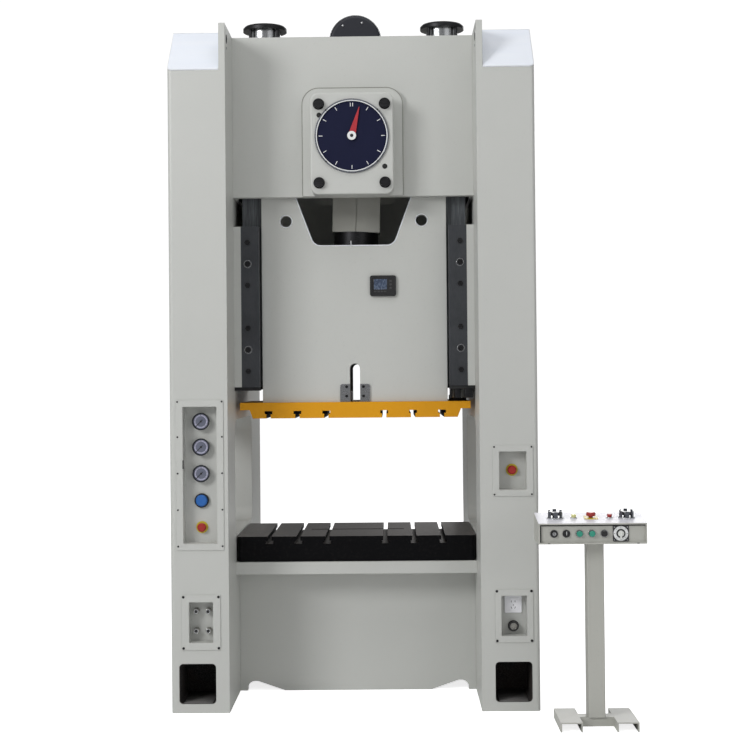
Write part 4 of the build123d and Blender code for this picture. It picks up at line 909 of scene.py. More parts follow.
FINISHES: tuple[Finish, ...] = (
    PaintFinish("frame_paint", srgb(199, 200, 196), 0.42, shade=srgb(190, 192, 188)),
    RailedPaintFinish("slide_paint", srgb(199, 200, 196), 0.42, shade=srgb(190, 192, 188)),
    PaintFinish(
        "seam_grey", srgb(140, 140, 132), 0.6, shade=srgb(128, 128, 122), edge_radius=0.0005,
        chips=0.1
    ),
    # The console's deck gets a painted highlight: its high upward faces are paler.
    DeckHighlightPaintFinish(
        "console_paint", srgb(188, 188, 181), 0.4, shade=srgb(178, 178, 171), edge_radius=0.0015,
        dust=0.1
    ),
    # The cover sheet's edges turn pure white: a painted highlight along them.
    MetalFinish(
        "cover_sheet", srgb(240, 245, 254), 0.34, bright=srgb(255, 255, 255),
        stretch=(3.0, 3.0, 26.0), line_height=0.00001, edge_radius=0.01, rubbed=1.0, metallic=0.0,
        oil=0.0
    ),
    MetalFinish(
        "black_steel", srgb(34, 34, 36), 0.42, bright=srgb(120, 120, 122), rubbed=0.4, metallic=0.8
    ),
    MetalFinish(
        "gib_steel", srgb(84, 86, 90), 0.4, bright=srgb(124, 126, 130),
        stretch=(700.0, 700.0, 60.0), line_height=0.00003, rubbed=0.6, metallic=0.85
    ),
    # The bolster's paler top is partly a painted reflection.
    GroundTopAndReflectionFinish(
        "bolster_steel", srgb(71, 64, 60), 0.45, bright=srgb(126, 117, 110),
        stretch=(40.0, 300.0, 300.0), line_height=0.00003, metallic=0.8, oil=0.25
    ),
    # The plate's T-slots are near-black, partly painted shade.
    SlottedPaintFinish(
        "plate_paint", srgb(226, 158, 14), 0.42, shade=srgb(208, 140, 10), beneath=srgb(70, 62, 52),
        edge_radius=0.002, chips=0.9, dust=0.1, coat=0.05, mirror=0.3
    ),
    MetalFinish("bright_steel", srgb(172, 173, 176), 0.24, stretch=(600.0, 600.0, 600.0), oil=0.1),
    CastFinish("rod_iron", srgb(194, 194, 186), 0.5, rust_share=0.08, metallic=0.3),
    # Near-black finish of the pockets' linings: painted shade.
    CastFinish("pocket_painted_shade", srgb(22, 22, 23), 0.8, rust_share=0.2, metallic=0.0),
    CastFinish("pocket_floor", srgb(104, 104, 103), 0.75, rust_share=0.15, metallic=0.0),
    CastFinish("wheel_iron", srgb(92, 94, 96), 0.5),
    MetalFinish("gear_steel", srgb(118, 118, 120), 0.34, stretch=(500.0, 40.0, 500.0), oil=0.5),
    MetalFinish("bearing_bronze", srgb(168, 124, 62), 0.32, bright=srgb(222, 184, 112), oil=0.3),
    PaintFinish(
        "motor_paint", srgb(20, 23, 36), 0.45, shade=srgb(14, 16, 27), edge_radius=0.002, dust=0.08
    ),
    MouldedFinish(
        "belt_rubber", srgb(26, 26, 27), 0.7, texture_height=0.0001, texture_scale=700.0, gloss=0.0
    ),
    PaintFinish(
        "dial_navy", srgb(16, 21, 52), 0.6, shade=srgb(14, 16, 40), beneath=srgb(60, 62, 80),
        edge_radius=0.001, peel_scale=900.0, peel_height=0.00003, chips=0.1, dust=0.0, coat=0.0,
        mirror=0.2
    ),
    MouldedFinish("signal_red", srgb(164, 28, 20), 0.34, rubbed=srgb(206, 84, 74), gloss=0.4),
    MouldedFinish("needle_red", srgb(178, 44, 54), 0.4, rubbed=srgb(206, 96, 100)),
    MouldedFinish("signal_yellow", srgb(208, 186, 52), 0.4, rubbed=srgb(230, 216, 130)),
    MouldedFinish("signal_blue", srgb(28, 98, 176), 0.3, rubbed=srgb(110, 160, 214), gloss=0.5),
    MouldedFinish("signal_green", srgb(46, 152, 128), 0.3, rubbed=srgb(120, 196, 174), gloss=0.5),
    MouldedFinish("black_plastic", srgb(30, 30, 32), 0.4, rubbed=srgb(86, 86, 88), gloss=0.25),
    MouldedFinish(
        "white_plastic", srgb(232, 234, 230), 0.35, rubbed=srgb(244, 244, 240), gloss=0.3
    ),
    MouldedFinish("socket_white", srgb(250, 250, 255), 0.35, rubbed=srgb(255, 255, 255), gloss=0.4),
    MouldedFinish("lamp_yellow", srgb(224, 222, 150), 0.3, rubbed=srgb(240, 240, 200), gloss=0.5),
    MouldedFinish("guard_grey", srgb(70, 74, 82), 0.25, rubbed=srgb(184, 188, 194), gloss=0.8),
    MouldedFinish("palm_grey", srgb(52, 54, 60), 0.3, rubbed=srgb(120, 122, 128), gloss=0.6),
    MouldedFinish("grey_plastic", srgb(60, 60, 62), 0.4, rubbed=srgb(130, 130, 130)),
    MetalFinish(
        "gauge_case", srgb(52, 55, 60), 0.3, bright=srgb(150, 152, 156), stretch=EVEN_GRAIN
    ),
    MetalFinish("trim_steel", srgb(136, 140, 150), 0.3, stretch=EVEN_GRAIN, oil=0.1),
    MetalFinish(
        "bezel_metal", srgb(60, 60, 62), 0.3, bright=srgb(190, 190, 192), stretch=EVEN_GRAIN
    ),
    MetalFinish("tube_steel", srgb(196, 198, 200), 0.22, stretch=(500.0, 500.0, 20.0), oil=0.05),
    MetalFinish("fitting_metal", srgb(168, 166, 160), 0.28, stretch=(400.0, 60.0, 400.0), oil=0.3),
    PrintedFinish("dial_white", srgb(236, 238, 238), 0.4, shade=srgb(222, 224, 224), dust=0.05),
    PrintedFinish(
        "gauge_card", srgb(100, 104, 122), 0.4, shade=srgb(84, 88, 106), dust=0.0, coat=0.8
    ),
    PrintedFinish(
        "gauge_scale", srgb(184, 184, 206), 0.35, shade=srgb(150, 152, 176), dust=0.0,
        mottle_scale=30.0, coat=0.8
    ),
    ScreenFinish("screen_glass", srgb(58, 70, 92), 0.12),
)

OWN_FINISHES: dict[str, str] = {
    "slide": "slide_paint",
    "wall_socket": "socket_white",
    "left_deck_button": "lamp_yellow",
    "cam_switch": "white_plastic",
    "palm_guards": "guard_grey",
    "left_palm_button": "palm_grey",
    "right_palm_button": "palm_grey",
}


class FinishShelf:
    """Holds the finished materials by name."""

    def __init__(self, finishes: Sequence[Finish]) -> None:
        """Builds the material of every finish."""
        effects = EffectLibrary()
        self.materials = {finish.name: finish.build(effects) for finish in finishes}

    def dress(self, thing: bpy.types.Object, name: str) -> None:
        """Gives a whole object the finish of that name."""
        thing.data.materials.clear()
        thing.data.materials.append(self.materials[name])

    def dress_nodes(self, frame: dict) -> None:
        """Gives each CAD node its own listed finish, or else the finish that its slot in the record
        names.
        """
        for part in frame["record"]["subparts"]:
            name = OWN_FINISHES.get(part["node"], part["material_slot"])
            self.dress(frame["nodes"][part["node"]], name)
            LOG.info("node %s wears %s", part["node"], name)


class Body(Enum):
    """The CAD bodies that carry added pieces."""

    FRAME = "frame"
    SLIDE = "slide"
    CRANK = "crank"
    KEY = "key"
    SELECTOR = "selector"
    CAM = "cam"


@dataclass(frozen=True)
class Seat:
    """A face that small pieces sit on.

    Attributes:
        origin: A point of the face in millimetres.
        out: Direction out of the face.
        up: Direction that is up on the face.
    """

    origin: Point
    out: Point = (0.0, -1.0, 0.0)
    up: Point = (0.0, 0.0, 1.0)

    def matrix(self) -> Matrix:
        """Works out how the face's own millimetres become metres of the press.

        Returns:
            The matrix, with X to the right, Y up and Z out of the face.
        """
        out, up = Vector(self.out).normalized(), Vector(self.up).normalized()
        turn = Matrix((up.cross(out), up, out)).transposed().to_4x4()
        turn.translation = Vector(self.origin)
        return Matrix.Scale(METRES, 4) @ turn

    def raised(self, height: float) -> "Seat":
        """Finds the same seat further out of its face."""
        there = (self.matrix() @ Vector((0.0, 0.0, height))) / METRES
        return Seat((there.x, there.y, there.z), self.out, self.up)


@dataclass(frozen=True)
class Block:
    """Sizes of a block.

    Attributes:
        width: Size to the right.
        height: Size up.
        depth: Size out of the seat.
        edge: Width of its bevel.
    """

    width: float
    height: float
    depth: float
    edge: float = 0.0


@dataclass(frozen=True)
class Post:
    """Sizes of a round post.

    Attributes:
        radius: Radius to the corners.
        height: Height above the seat.
        edge: Width of its bevel.
        sides: Number of sides.
    """

    radius: float
    height: float
    edge: float
    sides: int


@dataclass(frozen=True)
class Ring:
    """Sizes of a flat ring.

    Attributes:
        outer: Outer radius.
        inner: Inner radius.
        height: Thickness.
        edge: Width of the chamfer on its upper edges.
    """

    outer: float
    inner: float
    height: float
    edge: float = 0.4


@dataclass(frozen=True)
class Band:
    """Sizes of a U-shaped band with two rounded corners, open at its far side.

    Attributes:
        widths: Clear width at the closed side and at the open side.
        height: Distance from the closed to the open side, negative where it opens downwards.
        depth: How far the band stands out.
        radius: Radius of its corners.
        wall: Width of the band, outwards from the clear width.
    """

    widths: Pair
    height: float
    depth: float
    radius: float
    wall: float


@dataclass(frozen=True)
class ScrewHead:
    """Sizes of a screw's head, which is domed with a slot or flat with a socket.

    Attributes:
        radius: Radius of the head.
        height: Height of the head.
        rim: Flat rim round a socket, as a share of the radius.
        taper: Width of the socket's sloping wall, as a share of the radius.
        sunk: Depth of the socket, as a share of the height.
        dome: Corners of a dome's section, as shares of the radius and of the height.
        slot: Length and width of a slot as shares of the radius, depth as one of the height.
        slot_base: Height of the slot's underside, as a share of the height.
    """

    radius: float
    height: float
    rim: float = 0.14
    taper: float = 0.36
    sunk: float = 0.55
    dome: Pairs = ((0, 0), (1, 0), (1, 0.35), (0.8, 0.8), (0.45, 1), (0, 1))
    slot: Point = (1.5, 0.26, 0.2)
    slot_base: float = 0.92


class Form:
    """A piece being built with mesh operators in the millimetres of its seat."""

    def __init__(self, seat: Seat) -> None:
        """Starts an empty piece on its seat."""
        self.seat = seat
        self.mesh = bmesh.new()

    def take(self, part: bmesh.types.BMesh, matrix: Matrix) -> None:
        """Adds a part that was built on its own.

        Args:
            part: The part, which is used up.
            matrix: Where it goes on the seat.
        """
        bmesh.ops.transform(part, matrix=matrix, verts=part.verts)
        bmesh.ops.recalc_face_normals(part, faces=part.faces)
        shell = bpy.data.meshes.new("part")
        part.to_mesh(shell)
        part.free()
        self.mesh.from_mesh(shell)
        bpy.data.meshes.remove(shell)

    @staticmethod
    def cube(size: Point) -> bmesh.types.BMesh:
        """Starts a part as a block about its own middle.

        Args:
            size: Width, height and depth.

        Returns:
            The part.
        """
        part = bmesh.new()
        bmesh.ops.create_cube(part, size=1.0)
        bmesh.ops.scale(part, vec=Vector(size), verts=part.verts)
        return part

    @staticmethod
    def column(radius: float, height: float, sides: int) -> bmesh.types.BMesh:
        """Starts a part as a many-sided column about its own middle.

        Args:
            radius: Radius to the corners.
            height: Height.
            sides: Number of sides.

        Returns:
            The part.
        """
        part = bmesh.new()
        size = {"radius1": radius, "radius2": radius, "depth": height}
        bmesh.ops.create_cone(part, cap_ends=True, segments=sides, **size)
        return part

    @staticmethod
    def bevel(
        part: bmesh.types.BMesh,
        lines: Sequence[bmesh.types.BMEdge],
        width: float,
        steps: int,
        clamp: bool = False,
    ) -> None:
        """Bevels edges of a part.

        Args:
            part: The part.
            lines: The edges.
            width: Width of the bevel.
            steps: Steps across the bevel.
            clamp: Whether the bevel stops where it would meet another.
        """
        bmesh.ops.bevel(
            part,
            geom=lines,
            offset=width,
            offset_type="OFFSET",
            segments=steps,
            profile=0.5,
            affect="EDGES",
            material=-1,
            clamp_overlap=clamp,
        )

    def soften(self, part: bmesh.types.BMesh, edge: float) -> None:
        """Bevels the sharp edges of a part.

        Args:
            part: The part.
            edge: Width of the bevel; zero leaves the part as it is.
        """
        if edge <= 0:
            return
        sharp = [
            line
            for line in part.edges
            if len(line.link_faces) == 2 and line.calc_face_angle(0.0) > SHARP_ANGLE
        ]
        self.bevel(part, sharp, edge, EDGE_STEPS, clamp=True)

    @staticmethod
    def uprights(part: bmesh.types.BMesh, depth: float) -> list[bmesh.types.BMEdge]:
        """Lists the edges that run through the depth of a part.

        Args:
            part: The part.
            depth: Its depth.

        Returns:
            The edges.
        """
        return [
            line
            for line in part.edges
            if abs(line.verts[0].co.z - line.verts[1].co.z) > depth / 2
        ]

    @staticmethod
    def lid(part: bmesh.types.BMesh) -> bmesh.types.BMFace:
        """Finds the highest face of a part."""
        return max(part.faces, key=lambda face: face.calc_center_median().z)

    def slab(
        self, block: Block, at: Pair = MIDDLE, base: float = 0.0, turn: float = 0.0
    ) -> None:
        """Adds a block that stands on the seat.

        Args:
            block: Sizes of the block.
            at: Middle of the block on the seat.
            base: Height of its underside above the seat.
            turn: Clockwise turn on the seat in degrees.
        """
        part = self.cube((block.width, block.height, block.depth))
        self.soften(part, block.edge)
        place = Matrix.Translation((at[0], at[1], base + block.depth / 2))
        self.take(part, place @ Matrix.Rotation(-math.radians(turn), 4, "Z"))

    def post(self, post: Post, at: Pair = MIDDLE) -> None:
        """Adds a round post that stands on the seat.

        Args:
            post: Sizes of the post.
            at: Middle of the post on the seat.
        """
        part = self.column(post.radius, post.height, post.sides)
        self.soften(part, post.edge)
        self.take(part, Matrix.Translation((at[0], at[1], post.height / 2)))

    def cup(self, size: Point, radius: float, wall: float, base: float) -> None:
        """Adds a round-cornered cup that stands on the seat and is open outwards.

        Args:
            size: Width, height and depth of the cup, outside.
            radius: Radius of its corners.
            wall: Thickness of its wall, inwards.
            base: Height of its underside above the seat.
        """
        part = self.cube(size)
        self.bevel(part, self.uprights(part, size[2]), radius, CUP_STEPS)
        bmesh.ops.delete(part, geom=[self.lid(part)], context="FACES_ONLY")
        bmesh.ops.recalc_face_normals(part, faces=part.faces)
        bmesh.ops.solidify(part, geom=part.faces, thickness=wall)
        self.take(part, Matrix.Translation((0.0, 0.0, base + size[2] / 2)))

    def band(self, band: Band, at: Pair) -> None:
        """Adds a U-shaped band.

        Args:
            band: Sizes of the band.
            at: Middle of its closed side on the seat.
        """
        near_width, far_width = band.widths
        part = self.cube((near_width, abs(band.height), band.depth))
        far = [corner for corner in part.verts if corner.co.y > 0]
        bmesh.ops.scale(part, vec=Vector((far_width / near_width, 1.0, 1.0)), verts=far)
        outward = [
            line
            for line in self.uprights(part, band.depth)
            if all(corner.co.y < 0 for corner in line.verts)
        ]
        lean = math.atan2((far_width - near_width) / 2, abs(band.height))
        offset = band.radius * math.tan((math.pi / 2 - lean) / 2)
        self.bevel(part, outward, offset, BAND_STEPS)
        bmesh.ops.recalc_face_normals(part, faces=part.faces)
        open_sides = [
            face
            for face in part.faces
            if abs(face.normal.z) > STRAIGHT or face.normal.y > STRAIGHT
        ]
        bmesh.ops.delete(part, geom=open_sides, context="FACES")
        bmesh.ops.solidify(part, geom=part.faces, thickness=-band.wall)
        turn = Matrix.Rotation(math.pi if band.height < 0 else 0.0, 4, "Z")
        place = Matrix.Translation((at[0], at[1] + band.height / 2, band.depth / 2))
        self.take(part, place @ turn)

    def lathe(
        self, profile: Sequence[Pair], at: Pair = MIDDLE, steps: int = LATHE_STEPS
    ) -> None:
        """Adds a ring or knob by turning a closed profile about the seat's outward axis.

        Args:
            profile: Radius and height of each corner, in order round the section.
            at: Middle of the turn on the seat.
            steps: Steps round the turn.
        """
        part = bmesh.new()
        section = [part.verts.new((radius, 0.0, height)) for radius, height in profile]
        for index, corner in enumerate(section):
            part.edges.new((corner, section[(index + 1) % len(section)]))
        bmesh.ops.spin(
            part,
            geom=part.verts[:] + part.edges[:],
            cent=(0.0, 0.0, 0.0),
            axis=(0.0, 0.0, 1.0),
            dvec=(0.0, 0.0, 0.0),
            angle=math.tau,
            steps=steps,
            use_merge=True,
        )
        bmesh.ops.remove_doubles(part, verts=part.verts, dist=MERGE_DISTANCE)
        self.take(part, Matrix.Translation((at[0], at[1], 0.0)))

    def ring(self, ring: Ring, at: Pair = MIDDLE, base: float = 0.0) -> None:
        """Adds a flat ring with softened upper edges.

        Args:
            ring: Sizes of the ring.
            at: Middle of the ring on the seat.
            base: Height of its underside above the seat.
        """
        top = base + ring.height
        section = (
            (ring.inner, base),
            (ring.outer, base),
            (ring.outer, top - ring.edge),
            (ring.outer - ring.edge, top),
            (ring.inner + ring.edge, top),
            (ring.inner, top - ring.edge),
        )
        self.lathe(section, at)

    def socket_screw(self, head: ScrewHead, at: Pair) -> None:
        """Adds a flat screw head with a round, tapered socket.

        Args:
            head: Sizes of the head.
            at: Middle of the screw on the seat.
        """
        part = self.column(head.radius, head.height, SOCKET_SIDES)
        lid = self.lid(part)
        for share in (head.rim, head.taper):
            inset = head.radius * share
            bmesh.ops.inset_individual(part, faces=[lid], thickness=inset, depth=0.0)
        bmesh.ops.translate(part, verts=lid.verts, vec=(0.0, 0.0, -head.height * head.sunk))
        self.take(part, Matrix.Translation((at[0], at[1], head.height / 2)))

    def slot_screw(self, head: ScrewHead, at: Pair = MIDDLE, turn: float = SLOT_TURN) -> None:
        """Adds a low domed screw head with a slot across it.

        Args:
            head: Sizes of the head.
            at: Middle of the screw on the seat.
            turn: Clockwise turn of the slot in degrees.
        """
        dome = [(head.radius * across, head.height * up) for across, up in head.dome]
        self.lathe(dome, at, DOME_STEPS)
        length, width, depth = head.slot
        slot = Block(head.radius * length, head.radius * width, head.height * depth)
        self.slab(slot, at, head.height * head.slot_base, turn)

    def save(
        self, name: str, shelf: FinishShelf, finish: str, slot: str | None, body: Body
    ) -> None:
        """Makes the object, with its finish and the body it rides on.

        Args:
            name: Name of the piece.
            shelf: The finished materials.
            finish: Name of its finish.
            slot: Not used.
            body: CAD body that carries it.
        """
        bmesh.ops.transform(self.mesh, matrix=self.seat.matrix(), verts=self.mesh.verts)
        for face in self.mesh.faces:
            face.smooth = True
        for line in self.mesh.edges:
            line.smooth = len(line.link_faces) == 2 and line.calc_face_angle(0.0) < SMOOTH_ANGLE
        data = bpy.data.meshes.new(name)
        self.mesh.to_mesh(data)
        self.mesh.free()
        thing = bpy.data.objects.new(name, data)
        bpy.context.scene.collection.objects.link(thing)
        shelf.dress(thing, finish)
        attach(thing, body.value)
        LOG.info("piece %s on %s: %d faces", name, body.value, len(data.polygons))


def on_circle(radius: float, turn: float) -> Pair:
    """Finds the point of a circle at a clockwise turn from its top, in radians."""
    return (math.sin(turn) * radius, math.cos(turn) * radius)


def corners(half_width: float, half_height: float) -> Pairs:
    """Lists the four corners of a rectangle round its middle."""
    return tuple((right * half_width, up * half_height) for right in (-1, 1) for up in (-1, 1))


@dataclass
class Dressing:
    """What every group of added pieces has.

    In each group a field of the kind Block, Post, Ring, Band or ScrewHead holds the sizes of the
    shape that it is named for. A field that ends in _x, _y or _z is the place of what it is named
    for across the press, in its depth or up, and one in _xs or _zs lists several such places. The
    sections on attributes list the other fields.

    Attributes:
        shelf: The finished materials.
    """

    shelf: FinishShelf

    @contextmanager
    def piece(
        self,
        name: str,
        seat: Seat,
        finish: str,
        slot: str | None = None,
        body: Body = Body.FRAME,
    ) -> Iterator[Form]:
        """Hands out an empty form, and saves what the block has built in it.

        Args:
            name: Name of the piece.
            seat: Where it sits.
            finish: Name of its finish.
            slot: Passed on to the form.
            body: CAD body that carries it.

        Returns:
            A context whose value is the form.
        """
        form = Form(seat)
        yield form
        form.save(name, self.shelf, finish, slot, body)

    def build(self) -> None:
        """Builds every piece of the group."""
        raise NotImplementedError


@dataclass
class DialDressing(Dressing):
    """The marks, trim rings and small screws of the crank angle dial, and the seam round it.

    Attributes:
        centre: Middle of the dial on its face.
        tick_radius: Radius at the middle of a tick.
        tick_count: Number of ticks round the dial.
        twin_offset: Distance of each of the two top ticks from the middle.
        ring_rise: Height of the outer ring above the face.
        first_screw: Turn of the first screw in degrees.
        screw_count: Number of screws in the metal ring.
        needle_rise: Height of the needle's front above the face.
        cap_turn: Turn of the cap's slot in degrees.
        plugs: Places of the two plugs on the housing's front.
        seam_top: Height of the boss's top.
    """

    centre: Point = (0.0, -728.0, 2872.0)
    tick: Block = Block(3.4, 19.0, 0.8, 0.2)
    tick_radius: float = 158.0
    tick_count: int = 12
    twin_offset: float = 5.78
    ring_rise: float = 5.0
    trim: Ring = Ring(188.0, 181.0, 2.0, 0.8)
    line: Ring = Ring(181.0, 176.4, 1.6, 0.5)
    screw: ScrewHead = ScrewHead(4.6, 2.6)
    first_screw: float = 45.0
    screw_count: int = 4
    needle_rise: float = 11.0
    hub: Ring = Ring(22.6, 8.5, 1.6, 0.5)
    cap: ScrewHead = ScrewHead(8.5, 3.5)
    cap_turn: float = -15.0
    plug_y: float = -725.0
    plug: ScrewHead = ScrewHead(13.0, 3.0)
    plugs: Pairs = ((-164.7, 106.4), (165.8, -155.5))
    seam: Band = Band((516.0, 516.0), -555.0, 1.2, 85.0, 3.2)
    seam_y: float = -585.0
    seam_top: float = 3142.0

    def add_ticks(self, marks: Form) -> None:
        """Adds the ticks round the dial, two of them at its top.

        Args:
            marks: The piece they are added to.
        """
        for index in range(self.tick_count):
            turn = math.tau * index / self.tick_count
            offsets = (-self.twin_offset, self.twin_offset) if index == 0 else (0.0,)
            for offset in offsets:
                right, up = on_circle(self.tick_radius, turn)
                at = (right + math.cos(turn) * offset, up - math.sin(turn) * offset)
                marks.slab(self.tick, at, turn=math.degrees(turn))

    def build(self) -> None:
        """Builds the dial's dressing."""
        face = Seat(self.centre)
        ring_face = face.raised(self.ring_rise)
        with self.piece("dial_marks", face, "dial_white", "white_plastic") as marks:
            self.add_ticks(marks)
        with self.piece("dial_trim", ring_face, "trim_steel", "tube_steel") as trim:
            trim.ring(self.trim)
        with self.piece("dial_line", ring_face, "dial_white", "white_plastic") as line:
            line.ring(self.line)
        trim_top = ring_face.raised(self.trim.height)
        with self.piece("dial_screws", trim_top, "black_steel") as screws:
            middle = (self.trim.outer + self.trim.inner) / 2
            for index in range(self.screw_count):
                degrees = self.first_screw + 360 / self.screw_count * index
                screws.socket_screw(self.screw, on_circle(middle, math.radians(degrees)))
        needle = face.raised(self.needle_rise)
        with self.piece("needle_ring", needle, "dial_white", "white_plastic", Body.CRANK) as hub:
            hub.ring(self.hub)
        with self.piece("needle_cap", needle, "black_plastic", body=Body.CRANK) as cap:
            cap.slot_screw(self.cap, turn=self.cap_turn)
        housing = Seat((self.centre[0], self.plug_y, self.centre[2]))
        with self.piece("housing_plugs", housing, "belt_rubber") as plugs:
            for place in self.plugs:
                plugs.slot_screw(self.plug, place)
        crown = Seat((self.centre[0], self.seam_y, 0.0))
        with self.piece("boss_seam", crown, "seam_grey", "frame_paint") as seam:
            seam.band(self.seam, (0.0, self.seam_top))


@dataclass
class BoxDressing(Dressing):
    """The screws of one box let into an upright.

    Attributes:
        name: Name of the screws' piece.
        centre: Middle of the box on its front flange.
        places: Right and up of each screw.
        first_turn: Turn of the first slot in degrees.
        turn_step: How much further each next slot is turned.
    """

    name: str
    centre: Point
    places: Pairs
    screw: ScrewHead
    first_turn: float = 25.0
    turn_step: float = 47.0

    def build(self) -> None:
        """Builds the screws."""
        with self.piece(self.name, Seat(self.centre), "black_steel") as screws:
            for index, place in enumerate(self.places):
                screws.slot_screw(self.screw, place, self.first_turn + self.turn_step * index)


@dataclass
class GaugeDressing(Dressing):
    """The cards, scales and graduations of the pressure gauges, and the blue button's collar.

    Attributes:
        x: Middle of the gauges across the press.
        heights: Height of each gauge.
        tick_radius: Radius at the middle of a tick.
        tick_count: Number of graduations.
        long_every: Steps from one long graduation to the next.
        sweep: Half of the scale's sweep in degrees.
        collar_foot: Foot of the collar.
    """

    x: float = -761.0
    face_y: float = -840.0
    heights: tuple[float, ...] = (1438.0, 1311.0, 1179.0)
    card: Post = Post(37.5, 0.5, 0.1, 48)
    scale: Ring = Ring(34.0, 26.5, 0.9, 0.2)
    tick_radius: float = 30.2
    tick_count: int = 11
    long_every: int = 5
    long_tick: Block = Block(1.6, 7.0, 0.4)
    short_tick: Block = Block(1.0, 4.5, 0.4)
    sweep: float = 135.0
    collar: Ring = Ring(36.0, 29.6, 15.0, 2.0)
    collar_foot: Point = (-761.0, -815.0, 1044.0)

    def add_ticks(self, marks: Form) -> None:
        """Adds the graduations of one gauge.

        Args:
            marks: The piece they are added to.
        """
        for index in range(self.tick_count):
            degrees = -self.sweep + 2 * self.sweep * index / (self.tick_count - 1)
            tick = self.short_tick if index % self.long_every else self.long_tick
            at = on_circle(self.tick_radius, math.radians(degrees))
            marks.slab(tick, at, turn=degrees)

    def build(self) -> None:
        """Builds the cards, scales, graduations and the collar."""
        for number, height in enumerate(self.heights, start=1):
            face = Seat((self.x, self.face_y, height))
            top = face.raised(self.scale.height)
            with self.piece(f"gauge_card_{number}", face, "gauge_card", "white_plastic") as card:
                card.post(self.card)
            with self.piece(f"gauge_scale_{number}", face, "gauge_scale", "white_plastic") as scale:
                scale.ring(self.scale)
            with self.piece(f"gauge_marks_{number}", top, "black_plastic") as marks:
                self.add_ticks(marks)
        with self.piece("blue_button_collar", Seat(self.collar_foot), "black_plastic") as collar:
            collar.ring(self.collar)


@dataclass
class PocketDressing(Dressing):
    """Near-black linings of painted shade and dusty floors in the four tie-down pockets of the
    feet.

    Attributes:
        x: Distance of the pockets from the middle.
        size: Width, height and depth of a pocket.
        radius: Radius of its corners.
        wall: Thickness of the lining.
        gap: Clearance of the lining.
        lip: Distance of the lining behind the face.
        dust_at: Middle of the dusty floor on the pocket's back.
        dust_base: Distance of the dusty floor from both ends of the lining.
    """

    x: float = 780.0
    face_y: float = 885.0
    base_z: float = 45.0
    size: Point = (182.0, 198.0, 300.0)
    radius: float = 20.0
    wall: float = 1.2
    gap: float = 0.2
    lip: float = 5.0
    dust: Block = Block(142.0, 1.0, 289.0, 0.3)
    dust_at: Pair = (0.0, -96.8)
    dust_base: float = 3.0

    def build(self) -> None:
        """Builds the linings of painted shade and the floors."""
        width, height, depth = self.size
        outside = (width - self.gap, height - self.gap, depth - self.lip)
        for row, out in (("front", -1.0), ("rear", 1.0)):
            back_y = out * (self.face_y - depth)
            for side, x in (("left", -self.x), ("right", self.x)):
                seat = Seat((x, back_y, self.base_z + height / 2), (0.0, out, 0.0))
                name, slot = f"{side}_{row}", "black_steel"
                # Painted shade: a near-black cup that darkens the pocket's walls and back.
                with self.piece(f"pocket_shade_lining_{name}", seat, "pocket_painted_shade", slot) as lining:
                    lining.cup(outside, self.radius, self.wall, self.gap)
                with self.piece(f"pocket_floor_{name}", seat, "pocket_floor", slot) as ground:
                    ground.slab(self.dust, self.dust_at, self.dust_base)


@dataclass
class ServiceDressing(Dressing):
    """The wall socket's field, the painted shade of its slots, the connector's pins and sleeve, and
    the air bores' painted shade.

    Attributes:
        x: Middle of the socket and the connector across the press.
        slots: Sizes, place and turn of each slot's black mark of painted shade in the field.
        pin_circle: Radius of the circle of pins.
        pin_count: Number of pins.
        sleeve: Radius and height of each corner of the sleeve's section.
    """

    x: float = 784.0
    socket_y: float = -824.0
    socket_z: float = 517.0
    plate: Block = Block(66.0, 66.0, 2.0, 0.8)
    slots: tuple[tuple[Block, Pair, float], ...] = (
        (Block(2.6, 9.0, 0.4), (-9.0, 14.0), 0.0),
        (Block(2.6, 11.0, 0.4), (-9.0, -17.0), -30.0),
        (Block(2.6, 9.0, 0.4), (9.0, 14.0), 0.0),
        (Block(2.6, 11.0, 0.4), (9.0, -17.0), 30.0),
        (Block(2.6, 10.0, 0.4), (0.0, -4.0), 0.0),
    )
    connector_y: float = -826.0
    connector_z: float = 410.0
    pin: Post = Post(1.8, 9.0, 0.5, 16)
    pin_circle: float = 9.0
    pin_count: int = 5
    sleeve_y: float = -825.0
    sleeve: Pairs = (
        (21.9, 0.0), (27.6, 0.0), (27.6, 1.0), (23.0, 1.6), (23.0, 20.4),
        (22.4, 21.0), (17.2, 21.0), (17.2, 20.1), (21.9, 20.1)
    )
    air_xs: Pair = (-791.0, -731.0)
    air_zs: Pair = (398.5, 495.5)
    air_y: float = -849.0
    air_bore: Post = Post(8.0, 0.6, 0.1, 24)
    air_collar: Ring = Ring(11.5, 8.0, 1.4, 0.5)

    def build(self) -> None:
        """Builds the field, the slots' painted shade, the pins, sleeve, the bores' painted shade
        and the collars.
        """
        front = Seat((self.x, self.socket_y, self.socket_z))
        raised = front.raised(self.plate.depth)
        with self.piece("socket_field", front, "socket_white", "white_plastic") as plate:
            plate.slab(self.plate)
        # Painted shade: flat black marks stand in for the dark openings of the slots.
        with self.piece("socket_slot_shade", raised, "black_plastic") as slots:
            for slot, at, turn in self.slots:
                slots.slab(slot, at, turn=turn)
        bottom = Seat((self.x, self.connector_y, self.connector_z))
        with self.piece("connector_pins", bottom, "fitting_metal") as pins:
            for index in range(self.pin_count):
                turn = math.tau * index / self.pin_count
                pins.post(self.pin, on_circle(self.pin_circle, turn))
        foot = Seat((self.x, self.sleeve_y, self.connector_z))
        with self.piece("connector_sleeve", foot, "black_plastic") as sleeve:
            sleeve.lathe(self.sleeve)
        air = Seat((0.0, self.air_y, 0.0))
        places = [(x, z) for x in self.air_xs for z in self.air_zs]
        # Painted shade: flat black discs stand in for the dark insides of the air bores.
        with self.piece("air_bore_shade", air, "black_plastic") as shade_discs:
            for place in places:
                shade_discs.post(self.air_bore, place)
        with self.piece("air_collars", air, "tube_steel") as collars:
            for place in places:
                collars.ring(self.air_collar, place)


